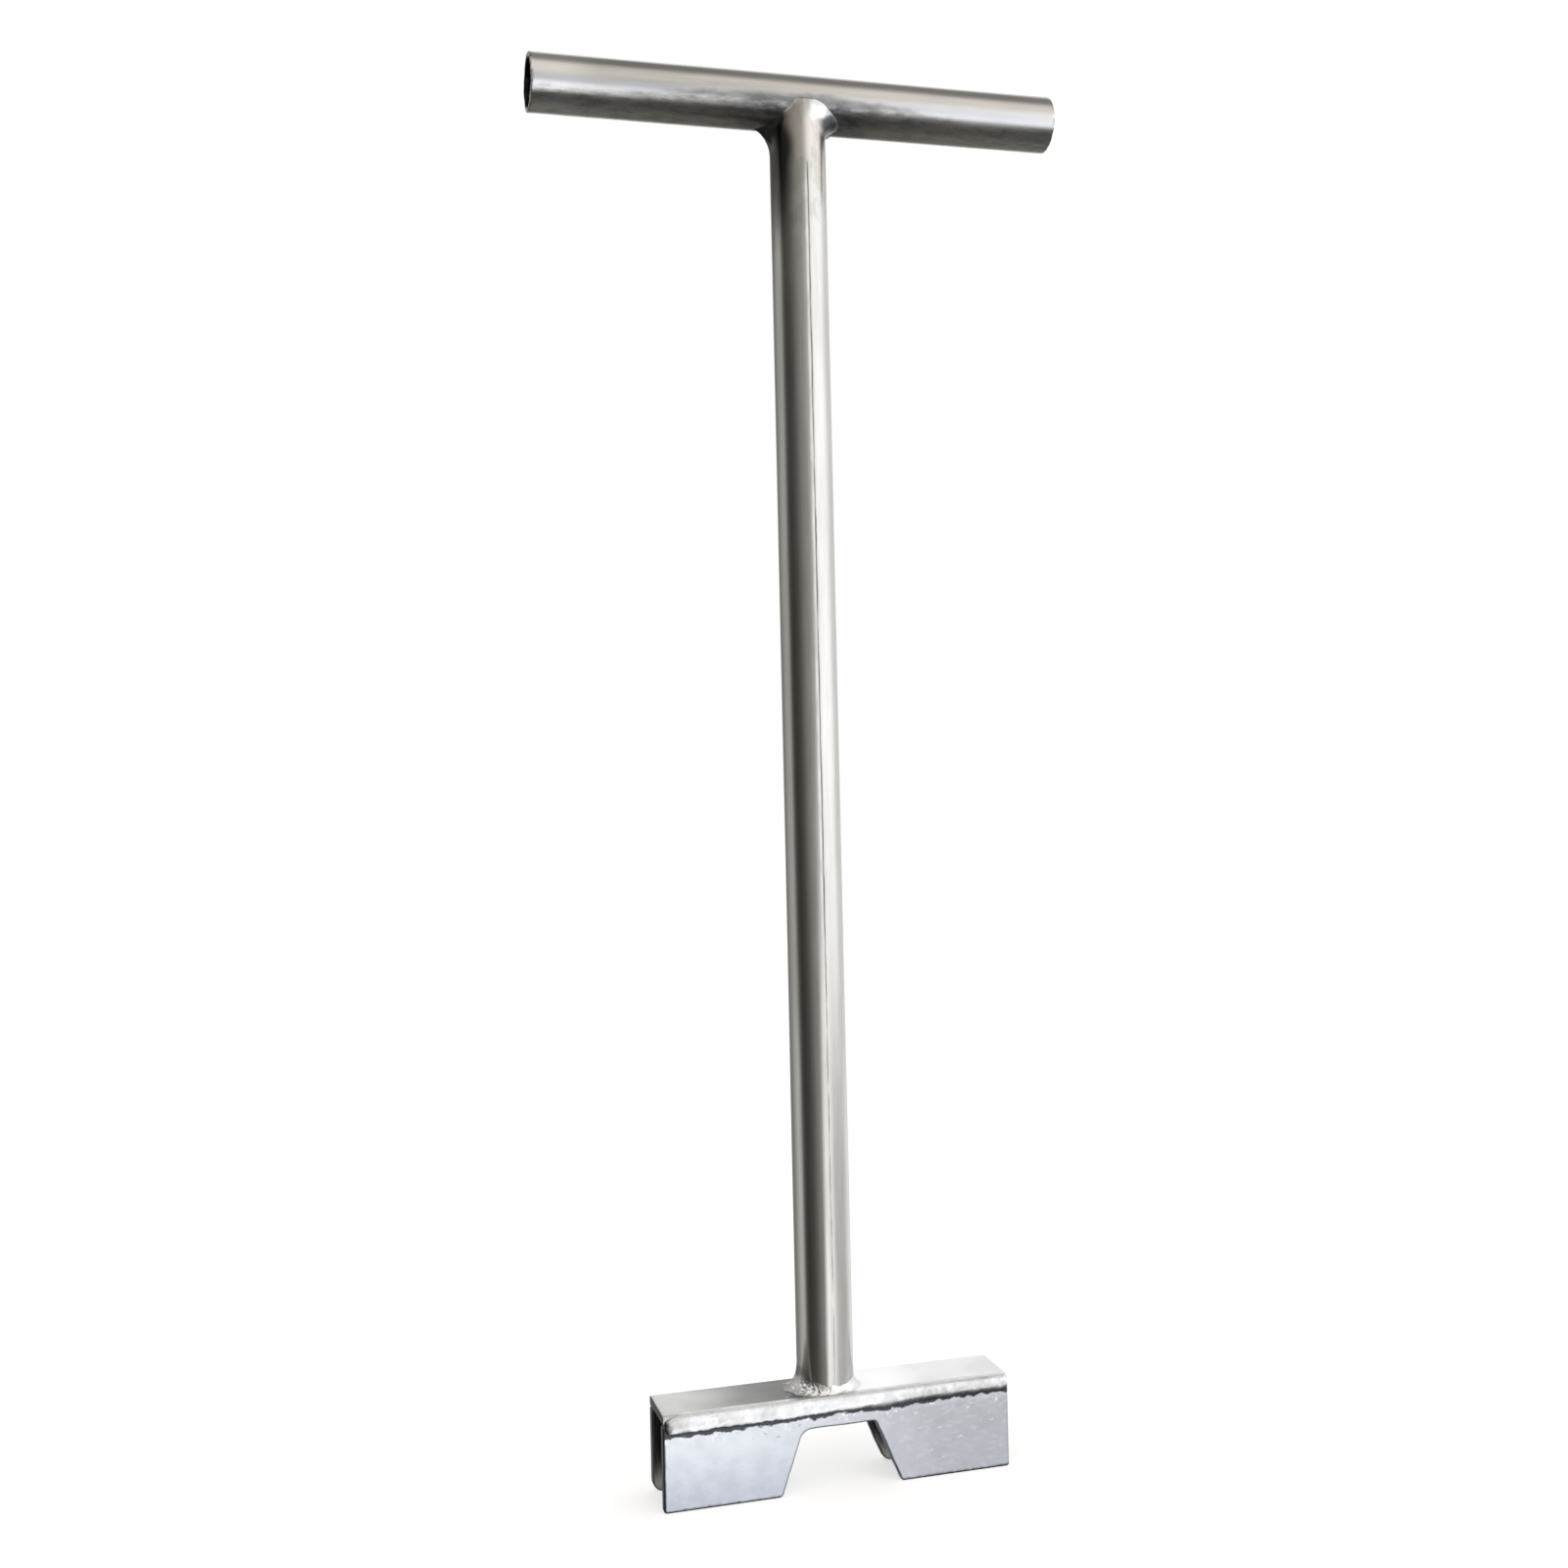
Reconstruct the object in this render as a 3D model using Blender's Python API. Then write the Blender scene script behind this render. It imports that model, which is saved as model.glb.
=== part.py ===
import math

import bmesh
import bpy
import numpy as np

# Valve key: a welded T-handled key whose head is an upside-down channel.
# Metres, +Z up, X along the grip and the head, the front plate faces -Y.
# The origin lies on the shaft's axis, level with the feet of the head.

# Tube shared by the grip and the shaft
TUBE_OD = 0.022
TUBE_WALL = 0.002
TUBE_EDGE_BREAK = 0.0003

# Grip
HANDLE_LENGTH = 0.210
HANDLE_AXIS_Z = 0.535

# Head, measured over the side plates
HEAD_LENGTH = 0.138
HEAD_DEPTH = 0.025
HEAD_HEIGHT = 0.036
HEAD_OFFSET_X = 0.002
TOP_PLATE_THICKNESS = 0.003
TOP_PLATE_FRONT_INSET = 0.0015
TOP_PLATE_REAR_INSET = 0.0004
SIDE_PLATE_THICKNESS = 0.004
PLATE_EDGE_BREAK = 0.0004

# Notch in both side plates, its offsets measured from the middle of the head
NOTCH_HEIGHT = 0.0243
NOTCH_FOOT_WIDTH = 0.0478
NOTCH_FOOT_OFFSET_X = 0.0006
NOTCH_TOP_WIDTH = 0.0288
NOTCH_TOP_OFFSET_X = -0.0002
NOTCH_LEFT_RADIUS = 0.0048
NOTCH_RIGHT_RADIUS = 0.0014

# Corners of the side plates, those of the feet from left to right
PLATE_TOP_RADIUS = 0.0012
FRONT_FOOT_RADII = (0.0012, 0.0022, 0.0014, 0.0010)
REAR_FOOT_RADII = (0.0045, 0.0045, 0.0045, 0.0045)

# Air left between neighbouring solids
GAP = 0.0003

# Weld round the joint of grip and shaft, set from its right side past its front to its left
HANDLE_WELD_DOWN_SHAFT = (0.0050, 0.0035, 0.0118)
HANDLE_WELD_ALONG_GRIP = (0.0056, 0.0058, 0.0039, 0.0012, 0.0032, 0.0046, 0.0072)
HANDLE_WELD_CROWN = (-0.0028, 0.0004, 0.0017, 0.0020, 0.0016, -0.0012, -0.0036)
HANDLE_WELD_APEX_DROP = 0.0022

# Weld round the foot of the shaft, set in the same way
FOOT_WELD_UP_SHAFT = (0.0050, 0.0036, 0.0100)
FOOT_WELD_OUT = (0.0030, 0.0014, 0.0052)
FOOT_WELD_CROWN = (-0.0012, 0.0008, -0.0014)

# Ripples left in the weld metal
RING_RIPPLE_COUNT = 26
RING_RIPPLE_HEIGHT = 0.00012
SEAM_RIPPLE_PITCH = 0.0045
SEAM_RIPPLE_HEIGHT = 0.00012

# Seam welds along the head's upper long edges
SEAM_SWELL = 0.0015
FRONT_SEAM_OVERLAP = 0.0049
REAR_SEAM_OVERLAP = 0.0022
SEAM_END_FADE = 0.0035
SEAM_END_FULLNESS = 0.35
FRONT_SEAM_START_SETBACK = 0.0012
FRONT_SEAM_END_SETBACK = 0.0026
REAR_SEAM_START_OVERRUN = 0.0007
REAR_SEAM_END_SETBACK = 0.0010
FRONT_SEAM_CURL_DEPTH = 0.0008
FRONT_SEAM_CURL_FROM_START = 0.0072
FRONT_SEAM_CURL_WIDTH = 0.006
FRONT_SEAM_RISE = 0.0013
FRONT_SEAM_RISE_CENTRE = 0.032
FRONT_SEAM_RISE_WIDTH = 0.014
SEAM_WAVE_HEIGHT = 0.0003
SEAM_WAVE_PITCH = 0.031

# Fineness of the round shapes
TUBE_SEGMENTS = 64
RING_SEGMENTS = 104
FACE_STEPS = 7
BASE_STEPS = 3
SEAM_STEP = 0.00112
CORNER_STEPS = 5
EDGE_STEPS = 2
MERGE_DISTANCE = 0.00001

# Degrees between faces above which an edge counts as a corner
TUBE_CORNER_ANGLE = 30
PLATE_CORNER_ANGLE = 25
PLATE_BREAK_ANGLE = 50
WELD_CORNER_ANGLE = 50

# Sizes that follow from the ones above
TUBE_R = TUBE_OD / 2
BORE_R = TUBE_R - TUBE_WALL
WELD_ROOT_R = TUBE_R + GAP
PLATE_TOP_Z = HEAD_HEIGHT - TOP_PLATE_THICKNESS - GAP
HEAD_START_X = HEAD_OFFSET_X - HEAD_LENGTH / 2
HEAD_END_X = HEAD_OFFSET_X + HEAD_LENGTH / 2
HALF_DEPTH = HEAD_DEPTH / 2
CUTTER_LENGTH = 3 * TUBE_OD


def clear_scene():
    for old in list(bpy.data.objects):
        bpy.data.objects.remove(old, do_unlink=True)


def steel(name, colour, roughness):
    material = bpy.data.materials.new(name)
    material.use_nodes = True
    shader = material.node_tree.nodes["Principled BSDF"]
    shader.inputs["Base Color"].default_value = (*colour, 1.0)
    shader.inputs["Metallic"].default_value = 1.0
    shader.inputs["Roughness"].default_value = roughness
    material.diffuse_color = (*colour, 1.0)
    return material


def new_node(name, mesh, material):
    mesh.name = name
    mesh.materials.append(material)
    node = bpy.data.objects.new(name, mesh)
    bpy.context.scene.collection.objects.link(node)
    return node


def smooth(node, corner_angle):
    node.data.shade_smooth()
    node.data.set_sharp_from_angle(angle=math.radians(corner_angle))


def apply_modifiers(node):
    graph = bpy.context.evaluated_depsgraph_get()
    graph.update()
    finished = bpy.data.meshes.new_from_object(node.evaluated_get(graph))
    node.modifiers.clear()
    node.data = finished


def mesh_from(points, faces):
    mesh = bpy.data.meshes.new("shape")
    mesh.from_pydata([tuple(p) for p in points], [], faces)
    mesh.validate()
    return mesh


# Tubes: the wall's section, turned about the tube's axis


def wall_section(start, end):
    """Corners of the tube wall as (radius, place along the axis), outer side first."""
    edge = TUBE_EDGE_BREAK
    return [
        (TUBE_R - edge, end),
        (TUBE_R, end - edge),
        (TUBE_R, start + edge),
        (TUBE_R - edge, start),
        (BORE_R + edge, start),
        (BORE_R, start + edge),
        (BORE_R, end - edge),
        (BORE_R + edge, end),
    ]


def turned_tube(name, material, start, end):
    """A tube standing along Z, made by a Screw modifier from its wall section."""
    section = wall_section(start, end)
    count = len(section)
    mesh = bpy.data.meshes.new(name)
    loop = [(i, (i + 1) % count) for i in range(count)]
    mesh.from_pydata([(radius, 0.0, place) for radius, place in section], loop, [])
    node = new_node(name, mesh, material)
    turn = node.modifiers.new("turn", "SCREW")
    turn.angle = math.tau
    turn.steps = TUBE_SEGMENTS
    turn.render_steps = TUBE_SEGMENTS
    turn.use_merge_vertices = True
    turn.merge_threshold = MERGE_DISTANCE
    turn.use_smooth_shade = True
    apply_modifiers(node)
    return node


def lay_along_x(mesh):
    """Turn a standing shape on its side, at the grip's height."""
    for vertex in mesh.vertices:
        across, deep, along = vertex.co
        vertex.co = (along, deep, HANDLE_AXIS_Z - across)


def build_handle_tube(material):
    node = turned_tube("handle_tube", material, -HANDLE_LENGTH / 2, HANDLE_LENGTH / 2)
    lay_along_x(node.data)
    smooth(node, TUBE_CORNER_ANGLE)
    return node


def grip_clearance_cutter():
    """A solid bar along the grip's axis, wider than the grip by the gap."""
    bar = bmesh.new()
    bmesh.ops.create_cone(
        bar,
        cap_ends=True,
        segments=TUBE_SEGMENTS,
        radius1=WELD_ROOT_R,
        radius2=WELD_ROOT_R,
        depth=CUTTER_LENGTH,
    )
    mesh = bpy.data.meshes.new("grip_clearance")
    bar.to_mesh(mesh)
    bar.free()
    lay_along_x(mesh)
    cutter = bpy.data.objects.new("grip_clearance", mesh)
    bpy.context.scene.collection.objects.link(cutter)
    cutter.hide_render = True
    cutter.display_type = "WIRE"
    return cutter


def build_shaft_tube(material):
    """The upright tube, with its top end cut to the round of the grip."""
    node = turned_tube("shaft_tube", material, HEAD_HEIGHT + GAP, HANDLE_AXIS_Z)
    cutter = grip_clearance_cutter()
    cope = node.modifiers.new("cope", "BOOLEAN")
    cope.operation = "DIFFERENCE"
    cope.solver = "EXACT"
    cope.object = cutter
    apply_modifiers(node)
    bpy.data.objects.remove(cutter, do_unlink=True)
    smooth(node, TUBE_CORNER_ANGLE)
    return node


# Plates: an outline with rounded corners, given thickness and broken edges


def rounded_outline(corners):
    """Points round a shape whose corners are given as (x, z, radius)."""
    places = [np.array(corner[:2]) for corner in corners]
    outline = []
    for i, (corner, radius) in enumerate(zip(places, [c[2] for c in corners])):
        before = places[i - 1] - corner
        after = places[(i + 1) % len(places)] - corner
        before = before / np.linalg.norm(before)
        after = after / np.linalg.norm(after)
        half_angle = math.acos(float(np.clip(before @ after, -1, 1))) / 2
        bisector = (before + after) / np.linalg.norm(before + after)
        centre = corner + bisector * radius / math.sin(half_angle)
        start = corner + before * radius / math.tan(half_angle) - centre
        end = corner + after * radius / math.tan(half_angle) - centre
        sweep = math.atan2(start[0] * end[1] - start[1] * end[0], start @ end)
        for step in range(CORNER_STEPS + 1):
            turn = sweep * step / CORNER_STEPS
            turned = (
                start[0] * math.cos(turn) - start[1] * math.sin(turn),
                start[0] * math.sin(turn) + start[1] * math.cos(turn),
            )
            outline.append((centre[0] + turned[0], centre[1] + turned[1]))
    return outline


def side_plate_corners(foot_radii):
    """The side plate's outline, anticlockwise as seen from the front."""
    foot_middle = HEAD_OFFSET_X + NOTCH_FOOT_OFFSET_X
    top_middle = HEAD_OFFSET_X + NOTCH_TOP_OFFSET_X
    return [
        (HEAD_START_X, 0.0, foot_radii[0]),
        (foot_middle - NOTCH_FOOT_WIDTH / 2, 0.0, foot_radii[1]),
        (top_middle - NOTCH_TOP_WIDTH / 2, NOTCH_HEIGHT, NOTCH_LEFT_RADIUS),
        (top_middle + NOTCH_TOP_WIDTH / 2, NOTCH_HEIGHT, NOTCH_RIGHT_RADIUS),
        (foot_middle + NOTCH_FOOT_WIDTH / 2, 0.0, foot_radii[2]),
        (HEAD_END_X, 0.0, foot_radii[3]),
        (HEAD_END_X, PLATE_TOP_Z, PLATE_TOP_RADIUS),
        (HEAD_START_X, PLATE_TOP_Z, PLATE_TOP_RADIUS),
    ]


def plate_from_outline(name, material, front_loop, shift):
    """A closed plate: the front loop, the same loop moved by shift, and the rim between them."""
    count = len(front_loop)
    front = [np.array(p) for p in front_loop]
    back = [p + np.array(shift) for p in front]
    faces = [tuple(range(count)), tuple(range(2 * count - 1, count - 1, -1))]
    for i in range(count):
        j = (i + 1) % count
        faces.append((i, count + i, count + j, j))
    node = new_node(name, mesh_from(front + back, faces), material)
    edge = node.modifiers.new("edge_break", "BEVEL")
    edge.width = PLATE_EDGE_BREAK
    edge.segments = EDGE_STEPS
    edge.limit_method = "ANGLE"
    edge.angle_limit = math.radians(PLATE_BREAK_ANGLE)
    apply_modifiers(node)
    smooth(node, PLATE_CORNER_ANGLE)
    return node


def build_side_plate(name, material, front_y, foot_radii):
    outline = rounded_outline(side_plate_corners(foot_radii))
    loop = [(x, front_y, z) for x, z in outline]
    return plate_from_outline(name, material, loop, (0.0, SIDE_PLATE_THICKNESS, 0.0))


def build_top_plate(material):
    under = HEAD_HEIGHT - TOP_PLATE_THICKNESS
    front_y = TOP_PLATE_FRONT_INSET - HALF_DEPTH
    width = HEAD_DEPTH - TOP_PLATE_FRONT_INSET - TOP_PLATE_REAR_INSET
    loop = [
        (HEAD_START_X, front_y, under),
        (HEAD_END_X, front_y, under),
        (HEAD_END_X, front_y, HEAD_HEIGHT),
        (HEAD_START_X, front_y, HEAD_HEIGHT),
    ]
    return plate_from_outline("head_top_plate", material, loop, (0.0, width, 0.0))


# Ring welds: a fillet section carried once round the shaft


def around(theta, values):
    """A size at the angle theta, on a smooth curve through values set at equal turns.

    The values run from the right, past the front, to the left, and the back mirrors them.
    """
    last = len(values) - 1
    place = abs(math.remainder(theta, math.tau)) / math.pi * last
    i = min(int(place), last - 1)
    t = place - i
    before, here, there = values[abs(i - 1)], values[i], values[i + 1]
    after = values[min(i + 2, 2 * last - i - 2)]
    bend = 2 * before - 5 * here + 4 * there - after
    twist = 3 * here - before - 3 * there + after
    return here + t * (there - before) / 2 + t**2 * bend / 2 + t**3 * twist / 2


def bowed_line(start, end, bow):
    """Inner points of a curve from start to end, drawn towards the middle moved by bow."""
    pull = (start + end) / 2 + bow
    points = []
    for step in range(1, FACE_STEPS):
        t = step / FACE_STEPS
        points.append((1 - t) ** 2 * start + 2 * t * (1 - t) * pull + t**2 * end)
    return points


def closed_ring(name, material, sections):
    """Join equal sections into a ring that closes on itself."""
    rows = len(sections)
    columns = len(sections[0])
    faces = []
    for i in range(rows):
        here = i * columns
        there = ((i + 1) % rows) * columns
        for j in range(columns):
            k = (j + 1) % columns
            faces.append((here + j, here + k, there + k, there + j))
    points = [point for section in sections for point in section]
    node = new_node(name, mesh_from(points, faces), material)
    smooth(node, WELD_CORNER_ANGLE)
    return node


def ripple(theta):
    return RING_RIPPLE_HEIGHT * math.cos(RING_RIPPLE_COUNT * theta)


def on_grip(along, arc):
    """A point on the grip's clearance surface, by its arc length from the lowest line."""
    turn = arc / WELD_ROOT_R
    return np.array(
        [along, WELD_ROOT_R * math.sin(turn), HANDLE_AXIS_Z - WELD_ROOT_R * math.cos(turn)]
    )


def handle_weld_section(theta):
    """The saddle fillet's section where the shaft's wall faces the angle theta."""
    apex = HANDLE_WELD_APEX_DROP / WELD_ROOT_R
    lowness = math.sqrt(math.cos(theta) ** 2 * (1 - apex**2) + apex**2)
    turn = math.copysign(math.acos(min(1.0, lowness)), math.sin(theta))
    outward = np.array([math.cos(theta), math.sin(theta), 0.0])
    root = WELD_ROOT_R * outward + np.array([0, 0, HANDLE_AXIS_Z - WELD_ROOT_R * lowness])
    toe_down = root - np.array([0, 0, around(theta, HANDLE_WELD_DOWN_SHAFT)])
    reach = around(theta, HANDLE_WELD_ALONG_GRIP)
    base = []
    for step in range(1, BASE_STEPS + 1):
        part = reach * step / BASE_STEPS
        along = root[0] + part * math.cos(theta)
        base.append(on_grip(along, WELD_ROOT_R * turn + part * math.sin(theta)))
    grip_turn = turn + reach * math.sin(theta) / WELD_ROOT_R
    off_grip = np.array([0.0, math.sin(grip_turn), -math.cos(grip_turn)])
    normal = (outward + off_grip) / np.linalg.norm(outward + off_grip)
    crown = around(theta, HANDLE_WELD_CROWN) + ripple(theta)
    face = bowed_line(base[-1], toe_down, crown * normal)
    return [toe_down, root, *base, *face]


def build_handle_weld(material):
    turns = [math.tau * (i + 0.5) / RING_SEGMENTS for i in range(RING_SEGMENTS)]
    return closed_ring("handle_weld", material, [handle_weld_section(t) for t in turns])


def foot_weld_section(theta):
    """The foot fillet's section: up the shaft, and out over the top plate."""
    outward = np.array([math.cos(theta), math.sin(theta), 0.0])
    root = WELD_ROOT_R * outward + np.array([0, 0, HEAD_HEIGHT + GAP])
    toe_up = root + np.array([0, 0, around(theta, FOOT_WELD_UP_SHAFT)])
    toe_out = root + around(theta, FOOT_WELD_OUT) * outward
    normal = (outward + np.array([0, 0, 1])) / math.sqrt(2)
    crown = around(theta, FOOT_WELD_CROWN) + ripple(theta)
    return [toe_up, *bowed_line(toe_up, toe_out, crown * normal), toe_out, root]


def build_foot_weld(material):
    turns = [math.tau * (i + 0.5) / RING_SEGMENTS for i in range(RING_SEGMENTS)]
    return closed_ring("shaft_foot_weld", material, [foot_weld_section(t) for t in turns])


# Seam welds: a bead section carried along the head's upper edge


def seam_section(x, toe_z, fullness, bump, inset):
    """The bead's section at x on the front edge, where the top plate stands in by inset.

    Its back hugs the top plate's edge, the side plate's top and the side plate's face.
    Its face is one curve from the upper toe to the lower toe, flatter where fullness is low.
    """
    plate_y = -(HALF_DEPTH + GAP)
    ledge_z = PLATE_TOP_Z + GAP
    edge_y = inset - HALF_DEPTH - GAP
    swell_y = plate_y - SEAM_SWELL - bump
    corner = np.array([plate_y, ledge_z])
    upper_toe = np.array([edge_y, ledge_z + fullness * (TOP_PLATE_THICKNESS - PLATE_EDGE_BREAK)])
    lower_toe = np.array([plate_y, toe_z])
    upper_pull = corner + fullness * (np.array([swell_y, HEAD_HEIGHT]) - corner)
    lower_pull = corner + fullness * (np.array([swell_y, toe_z]) - corner)
    back = [upper_toe, np.array([edge_y, ledge_z]), corner, lower_toe]
    face = []
    for step in range(1, FACE_STEPS):
        t = step / FACE_STEPS
        ends = t**3 * upper_toe + (1 - t) ** 3 * lower_toe
        pulls = 3 * t * (1 - t) * (t * upper_pull + (1 - t) * lower_pull)
        face.append(ends + pulls)
    return [np.array([x, *point]) for point in back + face]


def front_seam_drop(x):
    """How far the front bead hangs at x: more in the curl on its left, less on its right."""
    curl_at = (x - HEAD_START_X - FRONT_SEAM_CURL_FROM_START) / FRONT_SEAM_CURL_WIDTH
    rise_at = (x - FRONT_SEAM_RISE_CENTRE) / FRONT_SEAM_RISE_WIDTH
    rise = FRONT_SEAM_RISE * (1 + math.tanh(rise_at)) / 2
    return FRONT_SEAM_OVERLAP + FRONT_SEAM_CURL_DEPTH * math.exp(-(curl_at**2)) - rise


def rear_seam_drop(x):
    return REAR_SEAM_OVERLAP


def seam_weld(name, material, start, end, inset, drop):
    """A bead from start to end along the front edge, hanging drop(x) below the top plate."""
    count = max(2, round((end - start) / SEAM_STEP))
    sections = []
    for i in range(count + 1):
        x = start + (end - start) * i / count
        from_end = min(x - start, end - x) / SEAM_END_FADE
        swell = math.sin(min(from_end, 1.0) * math.pi / 2)
        fullness = SEAM_END_FULLNESS + (1 - SEAM_END_FULLNESS) * swell
        wave = SEAM_WAVE_HEIGHT * math.sin(math.tau * x / SEAM_WAVE_PITCH)
        toe_z = HEAD_HEIGHT - TOP_PLATE_THICKNESS - fullness * (drop(x) - wave)
        bump = SEAM_RIPPLE_HEIGHT * (math.cos(math.tau * x / SEAM_RIPPLE_PITCH) - 1)
        sections.append(seam_section(x, toe_z, fullness, bump, inset))
    columns = len(sections[0])
    faces = [tuple(range(columns)), tuple(range((count + 1) * columns - 1, count * columns - 1, -1))]
    for i in range(count):
        here = i * columns
        there = here + columns
        for j in range(columns):
            k = (j + 1) % columns
            faces.append((here + k, here + j, there + j, there + k))
    points = [point for section in sections for point in section]
    node = new_node(name, mesh_from(points, faces), material)
    smooth(node, WELD_CORNER_ANGLE)
    return node


def build_front_seam(material):
    start = HEAD_START_X + FRONT_SEAM_START_SETBACK
    end = HEAD_END_X - FRONT_SEAM_END_SETBACK
    inset = TOP_PLATE_FRONT_INSET
    return seam_weld("front_seam_weld", material, start, end, inset, front_seam_drop)


def build_rear_seam(material):
    """The same kind of bead, its toe level, turned to the rear edge."""
    start = HEAD_START_X - REAR_SEAM_START_OVERRUN
    end = HEAD_END_X - REAR_SEAM_END_SETBACK
    inset = TOP_PLATE_REAR_INSET
    node = seam_weld("rear_seam_weld", material, start, end, inset, rear_seam_drop)
    for vertex in node.data.vertices:
        vertex.co.y = -vertex.co.y
    node.data.flip_normals()
    return node


def build_key():
    clear_scene()
    tube_steel = steel("tube_steel", (0.34, 0.33, 0.31), 0.32)
    plate_steel = steel("plate_steel", (0.56, 0.59, 0.64), 0.45)
    bar_steel = steel("bar_steel", (0.55, 0.56, 0.54), 0.42)
    weld_metal = steel("weld_metal", (0.62, 0.62, 0.62), 0.38)
    dark_weld_metal = steel("dark_weld_metal", (0.26, 0.26, 0.27), 0.42)
    build_handle_tube(tube_steel)
    build_shaft_tube(tube_steel)
    build_top_plate(bar_steel)
    build_side_plate("head_front_plate", plate_steel, -HALF_DEPTH, FRONT_FOOT_RADII)
    rear_y = HALF_DEPTH - SIDE_PLATE_THICKNESS
    build_side_plate("head_rear_plate", plate_steel, rear_y, REAR_FOOT_RADII)
    build_handle_weld(dark_weld_metal)
    build_foot_weld(weld_metal)
    build_front_seam(weld_metal)
    build_rear_seam(weld_metal)


build_key()
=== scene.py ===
"""Valve key: a welded T-handled steel key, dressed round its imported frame.

Lengths are in millimetres throughout, and become metres as each mesh is made.
"""

import logging
import math
from abc import ABC, abstractmethod
from collections.abc import Iterable
from dataclasses import dataclass, field
from enum import Enum
from functools import cache
from typing import ClassVar

import bmesh
import bpy
import numpy as np
from mathutils import Matrix


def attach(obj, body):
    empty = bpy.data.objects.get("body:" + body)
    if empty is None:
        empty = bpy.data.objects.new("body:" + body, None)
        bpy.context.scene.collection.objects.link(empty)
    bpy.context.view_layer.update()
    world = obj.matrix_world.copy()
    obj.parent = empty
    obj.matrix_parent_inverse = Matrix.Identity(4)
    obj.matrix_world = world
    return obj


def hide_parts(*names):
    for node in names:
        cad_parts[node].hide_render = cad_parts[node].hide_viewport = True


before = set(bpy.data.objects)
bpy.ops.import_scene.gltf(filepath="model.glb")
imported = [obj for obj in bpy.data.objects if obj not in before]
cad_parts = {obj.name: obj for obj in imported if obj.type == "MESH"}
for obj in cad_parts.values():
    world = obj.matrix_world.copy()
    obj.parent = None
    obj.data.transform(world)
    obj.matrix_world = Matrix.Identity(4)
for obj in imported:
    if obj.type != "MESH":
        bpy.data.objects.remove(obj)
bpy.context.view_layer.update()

LOG = logging.getLogger("valve_key")

# One millimetre in Blender's metres
MM = 0.001

# The point attribute that says how dark or how bright a piece's steel is
# On some pieces it also carries painted shade and painted highlights
SOOT_AND_PAINTED_LIGHT = "soot"

# Sizes that several pieces share
TUBE_RADIUS = 11.0
GRIP_AXIS_Z = 535.0
HEAD_TOP_Z = 36.0
HEAD_START_X = -67.0
HEAD_END_X = 71.0
PLATE_FACE_Y = 12.5

# How far the faces that no one sees lie under their neighbour's skin
HIDDEN_DEPTH = 0.5

# Points closer than this are one point
TOUCHING = 1e-4

Array = np.ndarray
Triple = tuple[float, float, float]
Pair = tuple[float, float]
Profile = tuple[Pair, ...]
Stations = tuple[float, ...]

RIGHT = np.array([1.0, 0.0, 0.0])
UP = np.array([0.0, 0.0, 1.0])


class Slot(Enum):
    """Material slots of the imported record."""

    TUBE = "tube_steel"
    BAR = "bar_steel"
    PLATE = "plate_steel"
    WELD = "weld_metal"
    DARK_WELD = "dark_weld_metal"


class Side(Enum):
    """The two long sides of the head, each with the sign of its Y direction."""

    FRONT = -1.0
    REAR = 1.0


# Curves and random bumps


def ramp(value: Array, low: float, high: float) -> Array:
    """A straight rise from 0 where the value is low to 1 where it is high, level beyond both."""
    return np.clip((value - low) / (high - low), 0, 1)


def bell(value: Array, width: float | Array) -> Array:
    """A bell that is 1 where the value is 0 and has sunk to a third a width away."""
    return np.exp(-((value / width) ** 2))


def unit(vectors: Array) -> Array:
    """Each vector made one long."""
    return vectors / np.linalg.norm(vectors, axis=-1, keepdims=True)


def between(before: Array, here: Array, there: Array, beyond: Array, t: Array) -> Array:
    """The cubic from here to there whose slope at each end is half its neighbours' step.

    Args:
        before: The value ahead of here.
        here: The value at t = 0.
        there: The value at t = 1.
        beyond: The value after there.
        t: Shares of the way.

    Returns:
        The values at those shares.
    """
    bend = 2 * before - 5 * here + 4 * there - beyond
    twist = 3 * here - before - 3 * there + beyond
    return here + t * (there - before) / 2 + t**2 * bend / 2 + t**3 * twist / 2


def around(theta: Array, values: Stations) -> Array:
    """A size at each angle, on a smooth curve through values set at equal turns.

    The values run from the right, past the front, to the left, and the back mirrors them.

    Args:
        theta: Angles about the shaft, in radians.
        values: The sizes at equal turns over half a circle.

    Returns:
        One size for each angle.
    """
    last = len(values) - 1
    place = np.abs(np.arctan2(np.sin(theta), np.cos(theta))) / np.pi * last
    i = np.minimum(place.astype(int), last - 1)
    table = np.asarray(values)
    beyond = table[np.minimum(i + 2, 2 * last - i - 2)]
    return between(table[np.abs(i - 1)], table[i], table[i + 1], beyond, place - i)


def cubic_face(start: Array, first: Array, second: Array, end: Array, share: Array) -> Array:
    """A face made of cubic curves, one from each start to its end, pulled by two points between.

    Args:
        start: Where the curves start, n by 3.
        first: What pulls each near its start.
        second: What pulls each near its end.
        end: Where the curves end.
        share: Shares of the way, m of them.

    Returns:
        Points as n by m by 3.
    """
    t = share[None, :, None]
    start, first, second, end = (p[:, None, :] for p in (start, first, second, end))
    return (1 - t) ** 3 * start + 3 * t * (1 - t) ** 2 * first + 3 * t**2 * (1 - t) * second + t**3 * end


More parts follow.
